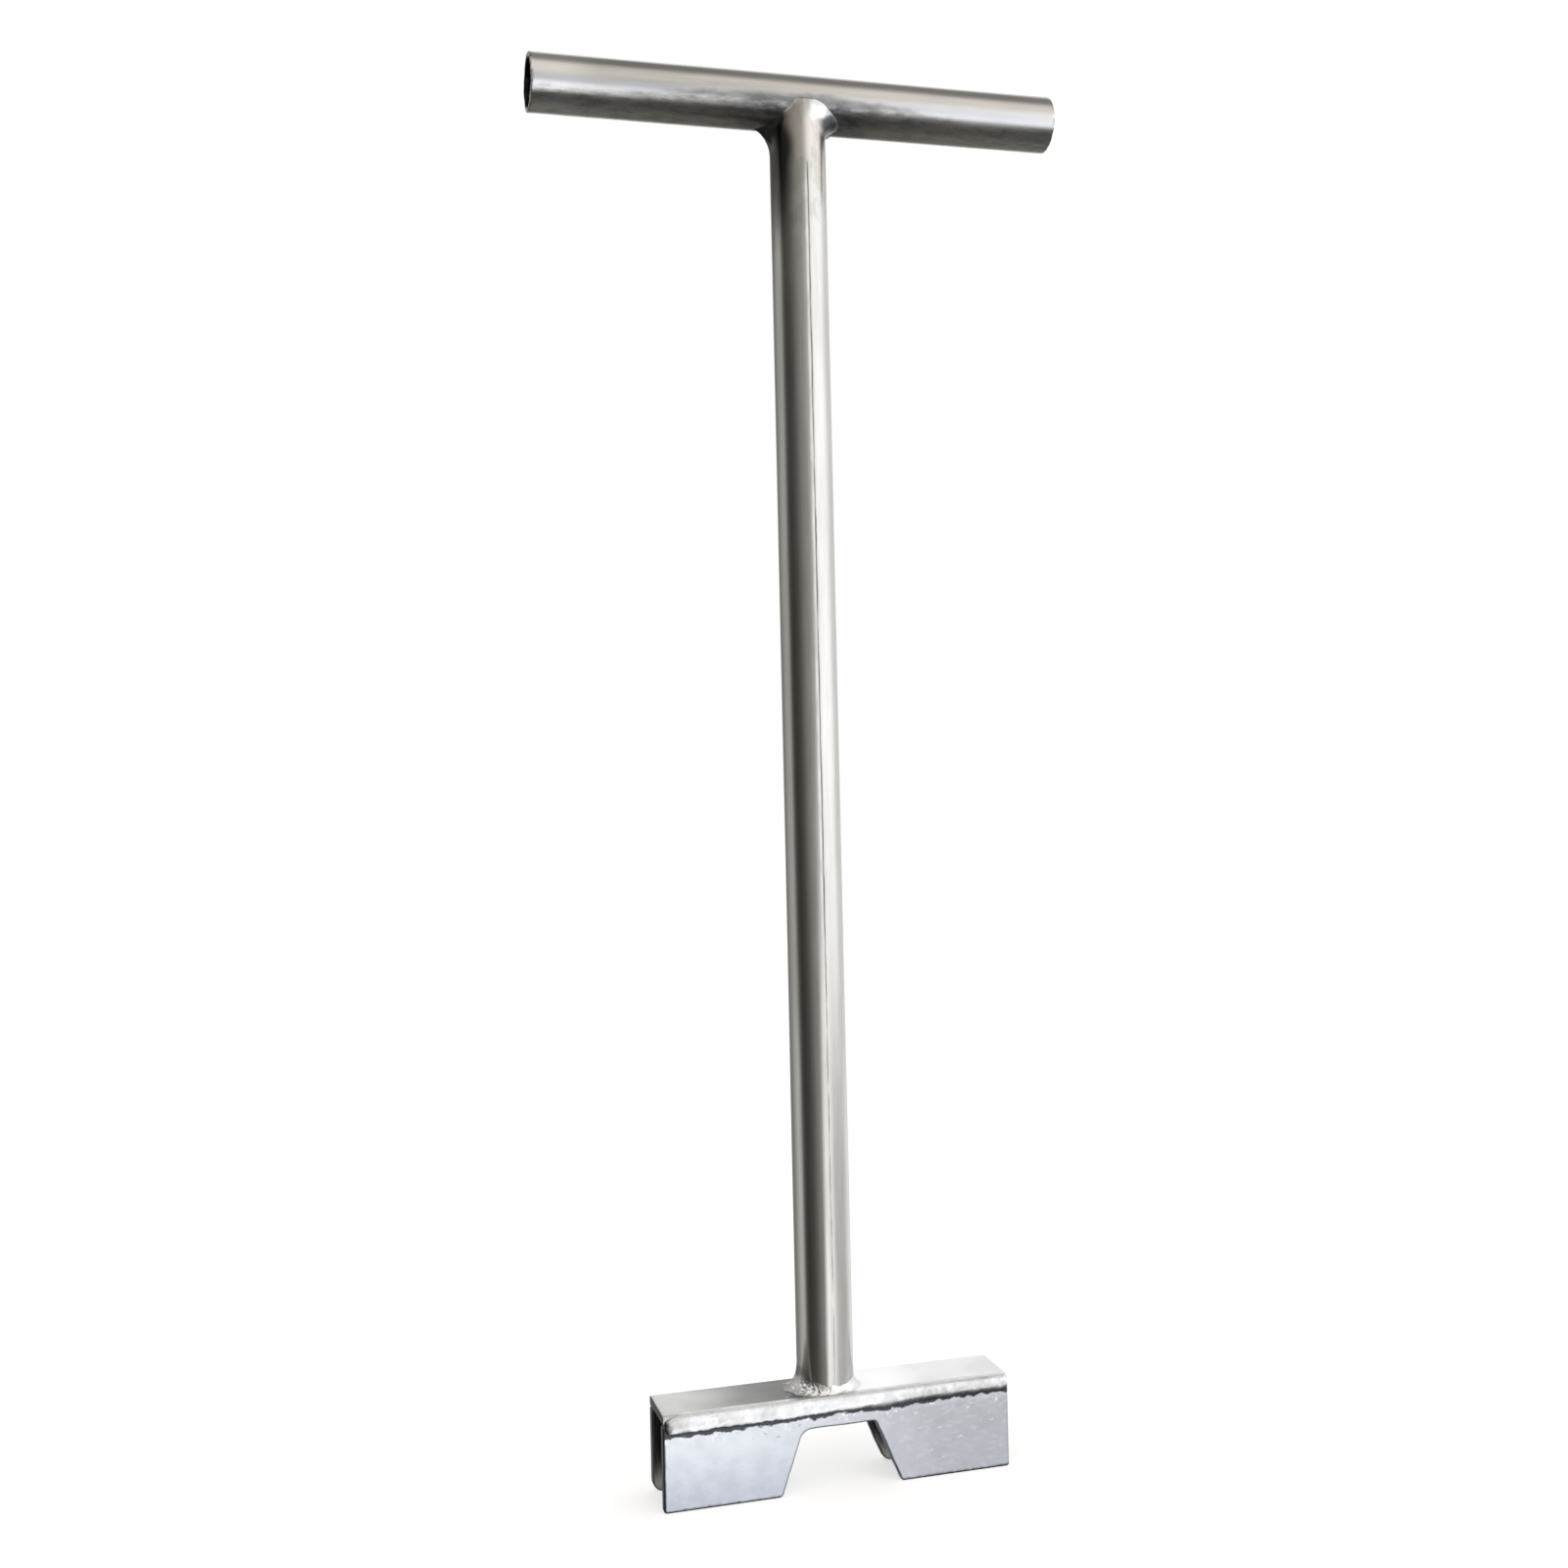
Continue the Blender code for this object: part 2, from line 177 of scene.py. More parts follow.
def rounded_path(corners: list[Triple], steps: int) -> Array:
    """An open path in a plane with its inner corners rounded.

    At each corner the arc's centre lies on the bisector, and the arc turns from one
    tangent point to the other.

    Args:
        corners: Corners as (x, z, radius); the first and last are plain ends.
        steps: Points on each arc, less one.

    Returns:
        Points as an array of n by 2.
    """
    path = [np.array(corners[0][:2])]
    for before, here, after in zip(corners, corners[1:], corners[2:]):
        corner = np.array(here[:2])
        back = unit(np.array(before[:2]) - corner)
        on = unit(np.array(after[:2]) - corner)
        half = math.acos(float(back @ on)) / 2
        centre = corner + unit(back + on) * here[2] / math.sin(half)
        start = corner + back * here[2] / math.tan(half) - centre
        end = corner + on * here[2] / math.tan(half) - centre
        sweep = math.atan2(start[0] * end[1] - start[1] * end[0], float(start @ end))
        turn = sweep * np.linspace(0, 1, steps + 1)[:, None]
        across = np.array([-start[1], start[0]])
        path.append(centre + np.cos(turn) * start + np.sin(turn) * across)
    path.append(np.array(corners[-1][:2]))
    return np.vstack(path)


def resample(path: Array, spacing: float) -> Array:
    """The same path with its points at even steps, by straight lines between the old ones.

    Args:
        path: Points, n by 2.
        spacing: The length of a step, to within what makes the steps come out even.

    Returns:
        The new points.
    """
    length = np.concatenate([[0], np.cumsum(np.linalg.norm(np.diff(path, axis=0), axis=1))])
    places = np.linspace(0, length[-1], max(2, round(length[-1] / spacing) + 1))
    return np.stack([np.interp(places, length, axis) for axis in path.T], axis=1)


def rim_of(grid: Array) -> Array:
    """The points round a grid's border as one closed loop, first point repeated."""
    return np.concatenate([grid[0], grid[1:, -1], grid[-1, -2::-1], grid[-2::-1, 0]], axis=0)


def distance_to_outline(grid: Array, outline: Array, batches: int = 24) -> Array:
    """The distance from each point of a grid to the nearest stretch of a closed outline.

    Each point is dropped onto every stretch, its foot held between the stretch's ends,
    and the shortest drop is kept. The points go through in batches, to spare memory.

    Args:
        grid: Points as rows by columns by 2.
        outline: The outline's corners, n by 2.
        batches: How many parts the points are split into.

    Returns:
        Distances as rows by columns.
    """
    stretch = np.roll(outline, -1, axis=0) - outline
    square = np.maximum((stretch**2).sum(axis=-1), TOUCHING**2)
    nearest = []
    for batch in np.array_split(grid.reshape(-1, 2), batches):
        off = batch[:, None, :] - outline[None]
        foot = np.clip((off * stretch).sum(axis=-1) / square, 0, 1)
        nearest.append(np.linalg.norm(off - foot[..., None] * stretch, axis=-1).min(axis=1))
    return np.concatenate(nearest).reshape(grid.shape[:2])


@dataclass(frozen=True)
class Grain:
    """Smooth random bumps, drawn from one seeded table so that each run is the same."""

    seed: int
    table_size: int = 4096
    octave_seed_step: int = 17
    primes: tuple[int, int, int] = (73856093, 19349663, 83492791)

    def at(self, points: Array, cell: float | Triple) -> Array:
        """Values between -1 and 1, eased between the corners of cells.

        Each point finds its cell, reads the table at the cell's eight corners through a
        product hash, and blends them by the smoothstep of its place in the cell.

        Args:
            points: Places, in an array whose last axis is 3 long.
            cell: The size of a cell, or its size along X, Y and Z.

        Returns:
            One value for each point.
        """
        table = np.random.default_rng(self.seed).uniform(-1.0, 1.0, self.table_size)
        scaled = points / np.asarray(cell)
        base = np.floor(scaled)
        part = scaled - base
        part = part * part * (3.0 - 2.0 * part)
        whole = base.astype(np.int64)
        primes = np.array(self.primes, dtype=np.int64)
        total = np.zeros(points.shape[:-1])
        for corner in np.ndindex(2, 2, 2):
            step = np.array(corner)
            place = ((whole + step) * primes).sum(axis=-1) % self.table_size
            weight = np.where(step == 1, part, 1.0 - part).prod(axis=-1)
            total = total + table[place] * weight
        return total

    def rough(self, points: Array, cell: float, octaves: int = 3) -> Array:
        """Bumps with finer ones on them.

        Each octave halves the cell and the height of the one before, and all are added.

        Args:
            points: Places, in an array whose last axis is 3 long.
            cell: The size of the coarsest cell.
            octaves: How many sizes of bump are added.

        Returns:
            One value for each point, mostly between -1 and 1.
        """
        seeds = [self.seed + self.octave_seed_step * k for k in range(octaves)]
        layers = [Grain(seed).at(points, cell / 2**k) / 2**k for k, seed in enumerate(seeds)]
        return np.sum(layers, axis=0) / 1.5


# Meshes


@dataclass
class Skin:
    """A mesh gathered from grids of points, joined where their edges meet."""

    name: str
    points: list[Array] = field(default_factory=list)
    quads: list[Array] = field(default_factory=list)
    total: int = 0

    def add_grid(self, grid: Array, wrap_rows: bool, wrap_columns: bool) -> None:
        """Add the four-sided faces between neighbouring points of a grid.

        Args:
            grid: Points in an array of rows by columns by 3.
            wrap_rows: The last row joins the first.
            wrap_columns: The last column joins the first.
        """
        rows, columns = grid.shape[:2]
        index = np.arange(rows * columns).reshape(rows, columns) + self.total
        if wrap_rows:
            index = np.vstack([index, index[:1]])
        if wrap_columns:
            index = np.hstack([index, index[:, :1]])
        corners = [index[:-1, :-1], index[:-1, 1:], index[1:, 1:], index[1:, :-1]]
        self.quads.append(np.stack(corners, axis=-1).reshape(-1, 4))
        self.points.append(grid.reshape(-1, 3))
        self.total += rows * columns

    def mesh(self, corner_angle: float) -> bpy.types.Mesh:
        """Make the mesh in metres: doubles merged, faces outward, smooth but for its corners.

        Args:
            corner_angle: Degrees between faces above which an edge is a corner.

        Returns:
            The finished mesh.
        """
        points = np.vstack(self.points) * MM
        quads = np.vstack(self.quads)
        mesh = bpy.data.meshes.new(self.name)
        mesh.vertices.add(len(points))
        mesh.vertices.foreach_set("co", points.astype(np.float32).ravel())
        mesh.loops.add(quads.size)
        mesh.loops.foreach_set("vertex_index", quads.astype(np.int32).ravel())
        mesh.polygons.add(len(quads))
        mesh.polygons.foreach_set("loop_start", np.arange(0, quads.size, 4, dtype=np.int32))
        mesh.update(calc_edges=True)
        shell = bmesh.new()
        shell.from_mesh(mesh)
        bmesh.ops.remove_doubles(shell, verts=shell.verts, dist=TOUCHING * MM)
        bmesh.ops.dissolve_degenerate(shell, edges=shell.edges, dist=TOUCHING * MM)
        bmesh.ops.recalc_face_normals(shell, faces=shell.faces)
        shell.to_mesh(mesh)
        shell.free()
        mesh.shade_smooth()
        mesh.set_sharp_from_angle(angle=math.radians(corner_angle))
        return mesh


class Piece(ABC):
    """One physical piece of the key: its surface, its soot and painted light, and the CAD node it stands
    for.
    """

    name: str
    node: str | None = None
    slot: ClassVar[Slot]
    corner_angle: ClassVar[float] = 50.0
    wrap_rows: ClassVar[bool] = True
    wrap_columns: ClassVar[bool] = True

    @abstractmethod
    def grids(self) -> list[Array]:
        """The piece's surface, as grids of points."""

    def soot(self, points: Array) -> Array:
        """Residue and painted shade at each point: 1 in full, 0 for none, -1 for bright, scoured or painted.
        """
        return np.zeros(len(points))

    def build(self, steel: bpy.types.Material) -> bpy.types.Object:
        """Build the piece, riding on the root body, and store its soot and painted light on its points.

        Args:
            steel: The finish that it wears.

        Returns:
            The piece.
        """
        skin = Skin(self.name)
        for grid in self.grids():
            skin.add_grid(grid, self.wrap_rows, self.wrap_columns)
        mesh = skin.mesh(self.corner_angle)
        mesh.materials.append(steel)
        points = np.empty(len(mesh.vertices) * 3, dtype=np.float32)
        mesh.vertices.foreach_get("co", points)
        soot = np.clip(self.soot(points.reshape(-1, 3).astype(float) / MM), -1, 1)
        mesh.attributes.new(SOOT_AND_PAINTED_LIGHT, "FLOAT", "POINT").data.foreach_set("value", soot.astype(np.float32))
        piece = bpy.data.objects.new(self.name, mesh)
        bpy.context.scene.collection.objects.link(piece)
        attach(piece, "root")
        if self.node:
            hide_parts(self.node)
        return piece


# Tubes


@dataclass
class DrawnTube(Piece):
    """The stock tube that grip and shaft are cut from."""

    slot = Slot.TUBE
    radius: float = TUBE_RADIUS
    bore_radius: float = 9.0
    edge: float = 0.45
    edge_points: int = 5
    segments: int = 160
    sunk: float = 0.02

    def wall(self, length: float, rows: int) -> tuple[Array, Array]:
        """The wall's section as a closed loop, outer side first.

        Straight runs along the outside and the bore are joined at each end by two
        quarter circles of the edge radius.

        Args:
            length: The tube's length.
            rows: Points along the outside.

        Returns:
            Places along the axis from 0 to length, and radii.
        """
        turn = np.linspace(0, np.pi / 2, self.edge_points)[1:-1]
        outer = np.linspace(self.edge, length - self.edge, rows)
        inner = np.linspace(length - self.edge, self.edge, rows // 6)
        rise = self.edge * np.sin(turn)
        fall = self.edge * np.cos(turn)
        far = length - self.edge + rise
        near = self.edge - rise
        outer_edge = self.radius - self.edge
        inner_edge = self.bore_radius + self.edge
        places = [outer, far, [length, length], far[::-1], inner, near, [0, 0], near[::-1]]
        radii = [
            np.full(rows, self.radius),
            outer_edge + fall,
            [outer_edge, inner_edge],
            inner_edge - fall[::-1],
            np.full(len(inner), self.bore_radius),
            inner_edge - fall,
            [inner_edge, outer_edge],
            outer_edge + fall[::-1],
        ]
        return np.concatenate(places), np.concatenate(radii)


@dataclass
class Grip(DrawnTube):
    """The cross tube that the hands hold."""

    name = "grip_tube"
    node = "handle_tube"
    length: float = 210.0
    axis_z: float = GRIP_AXIS_Z
    rows: int = 210
    dent_depth: float = 0.020
    dent_cell: Triple = (38.0, 9.0, 9.0)
    saw_wander: float = 0.12
    saw_reach: float = 1.2
    saw_cell: float = 2.2

    def grids(self) -> list[Array]:
        """The tube as a grid: section points by turns about the X axis.

        A point lies at its place along X, and at its radius plus low dents from the axis.
        The two ends wander a little along X, as a saw leaves them.

        Returns:
            The surface, as one grid.
        """
        along, radius = self.wall(self.length, self.rows)
        theta = np.linspace(0, 2 * np.pi, self.segments, endpoint=False)
        x = np.repeat((along - self.length / 2)[:, None], self.segments, axis=1)
        ring = np.stack([np.sin(theta), np.cos(theta)], axis=-1) * self.radius
        place = np.concatenate([x[..., None], np.broadcast_to(ring, (*x.shape, 2))], axis=-1)
        near_end = ramp(np.abs(x), self.length / 2 - self.saw_reach, self.length / 2)
        wander = self.saw_wander * (1 + Grain(5).at(place, self.saw_cell))
        x = x - np.sign(x) * near_end * wander
        r = radius[:, None] + self.dent_depth * Grain(3).at(place, self.dent_cell) - self.sunk
        return [np.stack([x, r * np.sin(theta), self.axis_z + r * np.cos(theta)], axis=-1)]


@dataclass
class Shaft(DrawnTube):
    """The upright tube, coped to the grip at its top."""

    name = "shaft"
    node = "shaft_tube"
    foot_z: float = HEAD_TOP_Z
    axis_z: float = GRIP_AXIS_Z
    cope_radius: float = 11.05
    rows: int = 420
    drawn_length: float = 1000.0
    mid_wall: float = 10.0
    dent_depth: float = 0.012
    dent_cell: Triple = (8.0, 8.0, 45.0)
    seam_turn: float = math.radians(-87.3)
    seam_widths: Pair = (0.85, 0.30)
    seam_depth: float = 0.095
    seam_top_z: float = 509.0
    seam_fade: float = 4.0
    seam_wander: float = 0.08
    cluster_turn: float = 0.105
    cluster_clear: float = 0.115
    cluster_points: int = 31
    dirt_share: float = 0.62
    dirt_width: float = 0.24
    dirt_aside: float = 0.12

    def turns(self) -> Array:
        """Angles round the tube, even but for a close cluster about the seam.

        Returns:
            The angles, in radians.
        """
        even = np.linspace(-np.pi, np.pi, self.segments, endpoint=False)
        close = np.linspace(-self.cluster_turn, self.cluster_turn, self.cluster_points)
        apart = even[np.abs(even) > self.cluster_clear]
        return self.seam_turn + np.sort(np.concatenate([apart, close]))

    def seam_line(self, points: Array) -> Array:
        """How far the seam strays to one side at each point's height, from -1 to 1."""
        return Grain(9).rough(points * UP, 7.0, 4)

    def grids(self) -> list[Array]:
        """The tube as a grid: section points by turns about the Z axis.

        Each row's share of the length is stretched to the cope, whose height is the
        grip's axis less the root of the cope radius squared less the depth squared.
        The tube's own seam sinks in along one line as a bell, wide on its left and narrow
        on its right, now shallow, now deep.

        Returns:
            The surface, as one grid.
        """
        along, radius = self.wall(self.drawn_length, self.rows)
        share = np.clip(along / self.drawn_length, 0, 1)[:, None]
        theta = self.turns()
        radius = radius[:, None]
        y = radius * np.sin(theta)
        top = self.axis_z - np.sqrt(self.cope_radius**2 - y**2)
        z = self.foot_z + share * (top - self.foot_z)
        place = np.stack([y, radius * np.cos(theta), z], axis=-1)
        wander = self.seam_line(place)
        off_seam = np.arctan2(np.sin(theta - self.seam_turn), np.cos(theta - self.seam_turn))
        across = off_seam * self.radius - self.seam_wander * wander
        seam = bell(across, np.where(across < 0, *self.seam_widths))
        seam = seam * ramp(-z, -self.seam_top_z, self.seam_fade - self.seam_top_z)
        seam = seam * np.clip(0.8 + 0.7 * wander, 0.25, 1.3)
        dents = self.dent_depth * Grain(8).at(place, self.dent_cell) - self.seam_depth * seam
        r = radius - self.sunk + np.where(radius > self.mid_wall, dents, 0)
        return [np.stack([r * np.cos(theta), r * np.sin(theta), z], axis=-1)]

    def soot(self, points: Array) -> Array:
        """The dirt in the seam: a thread down its middle, broken here and there.

        Args:
            points: Places on the shaft, n by 3.

        Returns:
            The share of dirt at each.
        """
        turn = np.arctan2(points[:, 1], points[:, 0]) - self.seam_turn
        across = turn * self.radius - self.seam_wander * self.seam_line(points) - self.dirt_aside
        breaks = np.clip(0.62 + 0.9 * Grain(13).rough(points * UP, 9.0, 5), 0.12, 1.0)
        outside = np.hypot(points[:, 0], points[:, 1]) > self.mid_wall
        seam = outside & (points[:, 2] < self.seam_top_z)
        return self.dirt_share * bell(across, self.dirt_width) * breaks * seam


# Welds at both ends of the shaft


@dataclass
class JointWeld(Piece):
    """The weld that saddles the shaft onto the grip, set by stations round the shaft.

    Thirteen stations run from the right crotch, past the front, to the left crotch. Each
    gives the toe on the grip, by its distance along the grip and its turn up from the
    grip's lowest line in degrees, the toe's height on the shaft, and how the face leaves
    both.
    """

    name = "joint_weld"
    node = "handle_weld"
    slot = Slot.DARK_WELD
    radius: float = TUBE_RADIUS
    axis_z: float = GRIP_AXIS_Z
    toe_along: Stations = (13.8, 14.6, 15.2, 13.9, 10.8, 6.6, 0.4, -4.0, -7.0, -9.0, -10.8, -13.6, -18.4)
    toe_turn: Stations = (0, 14, 30, 46, 61, 78, 85, 79, 65, 51, 35, 18, 0)
    toe_z: Stations = (521.3, 521.0, 520.0, 519.4, 521, 524, 525.4, 523.4, 519.8, 516.8, 514.6, 513, 512)
    lift: Stations = (4, 20, 42, 38, 16, 3, 0, 0, 2, 5, 7, 7, 5)
    reach_off_grip: Stations = (1.6, 1.9, 2.2, 2.6, 3.2, 3.3, 3.2, 3.3, 3.2, 2.8, 2.8, 3.2, 4.0)
    reach_up_shaft: Stations = (1.5, 2.0, 3.2, 4.6, 5.2, 4.8, 4.4, 4.8, 5.6, 5.8, 5.8, 5.8, 6.2)
    step_out: float = 0.34
    grip_bite: float = 0.12
    shaft_bite: float = 0.08
    lump_height: float = 0.20
    lump_cell: float = 3.0
    # Painted light: a painted shadow under the lip, a painted glint over it, and a painted facet highlight
    lip_z: float = 533.75
    lip_width: float = 0.26
    lip_shadow: float = 0.9
    glint_z: float = 534.35
    glint_width: float = 0.30
    facet_z: float = 524.2
    facet_lean: float = 0.35
    turns: int = 300
    face_points: int = 44

    def grids(self) -> list[Array]:
        """The weld as a closed ring of closed sections.

        The root follows the line where the tubes meet, and the toe on the grip lies at its
        station. From that toe the face steps out a little, then runs as a cubic curve,
        leaving at the lift angle off the grip, to a toe down the shaft that it meets flush.
        Bumps are added along the normal beside the shaft and die at both toes.

        Returns:
            The surface, as one grid.
        """
        theta = np.linspace(0, 2 * np.pi, self.turns, endpoint=False)
        cos, sin, zero = np.cos(theta), np.sin(theta), np.zeros(self.turns)
        out = np.stack([cos, sin, zero], axis=-1)
        turn = np.radians(around(theta, self.toe_turn)) * np.sign(sin)
        off_grip = np.stack([zero, np.sin(turn), -np.cos(turn)], axis=-1)
        round_grip = np.stack([zero, np.cos(turn), np.sin(turn)], axis=-1)
        toe_x = around(theta, self.toe_along)[:, None] * RIGHT
        toe_z = around(theta, self.toe_z)[:, None] * UP
        grip_toe = self.axis_z * UP + toe_x + off_grip * (self.radius - self.grip_bite)
        shaft_toe = out * (self.radius - self.shaft_bite) + toe_z
        angle = np.radians(around(theta, self.lift))[:, None]
        away = unit(cos[:, None] * RIGHT + sin[:, None] * round_grip)
        leave = off_grip * np.sin(angle) - away * np.cos(angle)
        front = (ramp(-sin, 0.55, 0.85) * ramp(cos, -0.35, -0.05))[:, None]
        start = grip_toe + off_grip * self.step_out * front
        first = start + leave * around(theta, self.reach_off_grip)[:, None]
        second = shaft_toe + UP * around(theta, self.reach_up_shaft)[:, None] + out * 0.08
        share = np.linspace(0, 1, self.face_points)
        face = cubic_face(start, first, second, shaft_toe, share)
        face = np.concatenate([grip_toe[:, None, :], face], axis=1)
        fade = np.sin(np.pi * np.concatenate([[0], share])) ** 0.7
        beside = np.clip((np.abs(cos)[:, None] - 0.45) / 0.5, 0.03, 1)
        lumps = self.lump_height * Grain(21).rough(face, self.lump_cell, 4) * beside * fade
        face = face + unit(out + off_grip)[:, None, :] * lumps[..., None]
        hidden = self.radius - HIDDEN_DEPTH
        shaft_hidden = out * hidden + toe_z + 0.3 * UP
        meeting = self.radius * np.sqrt(0.96 * cos**2 + 0.04)
        root = out * hidden + UP * (self.axis_z - meeting)[:, None]
        grip_hidden = self.axis_z * UP + toe_x * 0.97 + off_grip * hidden
        hidden_run = np.stack([shaft_hidden, root, grip_hidden], axis=1)
        return [np.concatenate([face, hidden_run], axis=1)]

    def soot(self, points: Array) -> Array:
        """A thin painted shadow under the front's ground lip, a painted glint over it, and a bright facet.

        The facet is a painted highlight on the right of the front, above a line that leans up to the right.

        Args:
            points: Places on the weld, n by 3.

        Returns:
            The share of painted shade at each, less than none where it is painted bright.
        """
        x, y, z = points.T
        ragged = 0.12 * Grain(25).rough(points, 1.0, 2)
        across = ramp(-np.abs(x - 0.2), -4.2, -3.4) * (y < -9.0)
        # Painted shadow under the front's lip, and a painted glint above it
        line = bell(self.lip_z - z + ragged, self.lip_width)
        glint = bell(z - self.glint_z + ragged, self.glint_width)
        lip = self.lip_shadow * (line - glint) * across
        # Painted highlight on the right facet of the front
        above = z - self.facet_lean * x - self.facet_z
        facet = ramp(x, 1.5, 3.5) * ramp(above, 0.0, 1.2) * ramp(-y, 7.4, 8.4)
        facet = facet * (0.42 + 0.22 * Grain(26).rough(points, 2.0, 3))
        return lip - facet * (1 - np.abs(lip))


@dataclass
class FootWeld(Piece):
    """The weld round the shaft's foot, heaviest on its left."""

    name = "foot_weld"
    node = "shaft_foot_weld"
    slot = Slot.WELD
    corner_angle = 35.0
    radius: float = TUBE_RADIUS
    plate_z: float = HEAD_TOP_Z
    up_shaft: Stations = (5.6, 4.2, 3.4, 6.0, 10.0)
    out_on_plate: Stations = (3.2, 2.0, 1.4, 2.8, 5.2)
    plate_bite: float = 0.06
    shaft_bite: float = 0.08
    toe_cell: float = 2.6
    lump_height: float = 0.26
    lump_cell: float = 1.5
    smooth_z: float = 42.0
    smooth_fade: float = 1.5
    crown: float = 0.05
    hidden_depth: float = 0.4
    turns: int = 360
    face_points: int = 40

    def grids(self) -> list[Array]:
        """The weld as a closed ring of closed sections.

        The face is a cubic curve from a toe out on the plate to a toe up the shaft, tangent
        to neither but hollow between. Bumps along its normal are coarsest on the left and
        die at both toes.

        Returns:
            The surface, as one grid.
        """
        theta = np.linspace(0, 2 * np.pi, self.turns, endpoint=False)
        left = np.clip(0.5 - 0.9 * np.cos(theta), 0.12, 1)
        out = np.stack([np.cos(theta), np.sin(theta), np.zeros(self.turns)], axis=-1)
        ragged = Grain(31).at(out * self.radius, self.toe_cell) * left
        left = left[:, None]
        reach = (around(theta, self.out_on_plate) * (1 + 0.26 * ragged))[:, None]
        rise = (around(theta, self.up_shaft) * (1 - 0.16 * ragged))[:, None]
        plate = UP * (self.plate_z - self.plate_bite)
        plate_toe = out * (self.radius + reach) + plate
        shaft_toe = out * (self.radius - self.shaft_bite) + plate + UP * rise
        first = plate_toe + (-0.50 * out + (0.10 + 0.22 * left) * UP) * reach
        second = shaft_toe - UP * rise * 0.62 + out * 0.05 * reach
        share = np.linspace(0, 1, self.face_points)
        face = cubic_face(plate_toe, first, second, shaft_toe, share)
        fade = np.sin(np.pi * share) ** 0.6
        lumps = self.lump_height * (0.6 - 2.2 * np.abs(Grain(33).rough(face, self.lump_cell, 2)))
        low = np.clip((self.smooth_z - face[..., 2]) / self.smooth_fade, 0.08, 1)
        lumps = (lumps * low * left + self.crown) * fade
        face = face + unit(out + UP)[:, None, :] * lumps[..., None]
        inner = out * (self.radius - HIDDEN_DEPTH)
        under = UP * (self.plate_z - self.hidden_depth)
        hidden_top = inner + plate + UP * (rise - self.hidden_depth)
        hidden_toe = out * (self.radius + 0.9 * reach) + under
        hidden_run = np.stack([hidden_top, inner + under, hidden_toe], axis=1)
        return [np.concatenate([face, hidden_run], axis=1)]


# Welds along the head


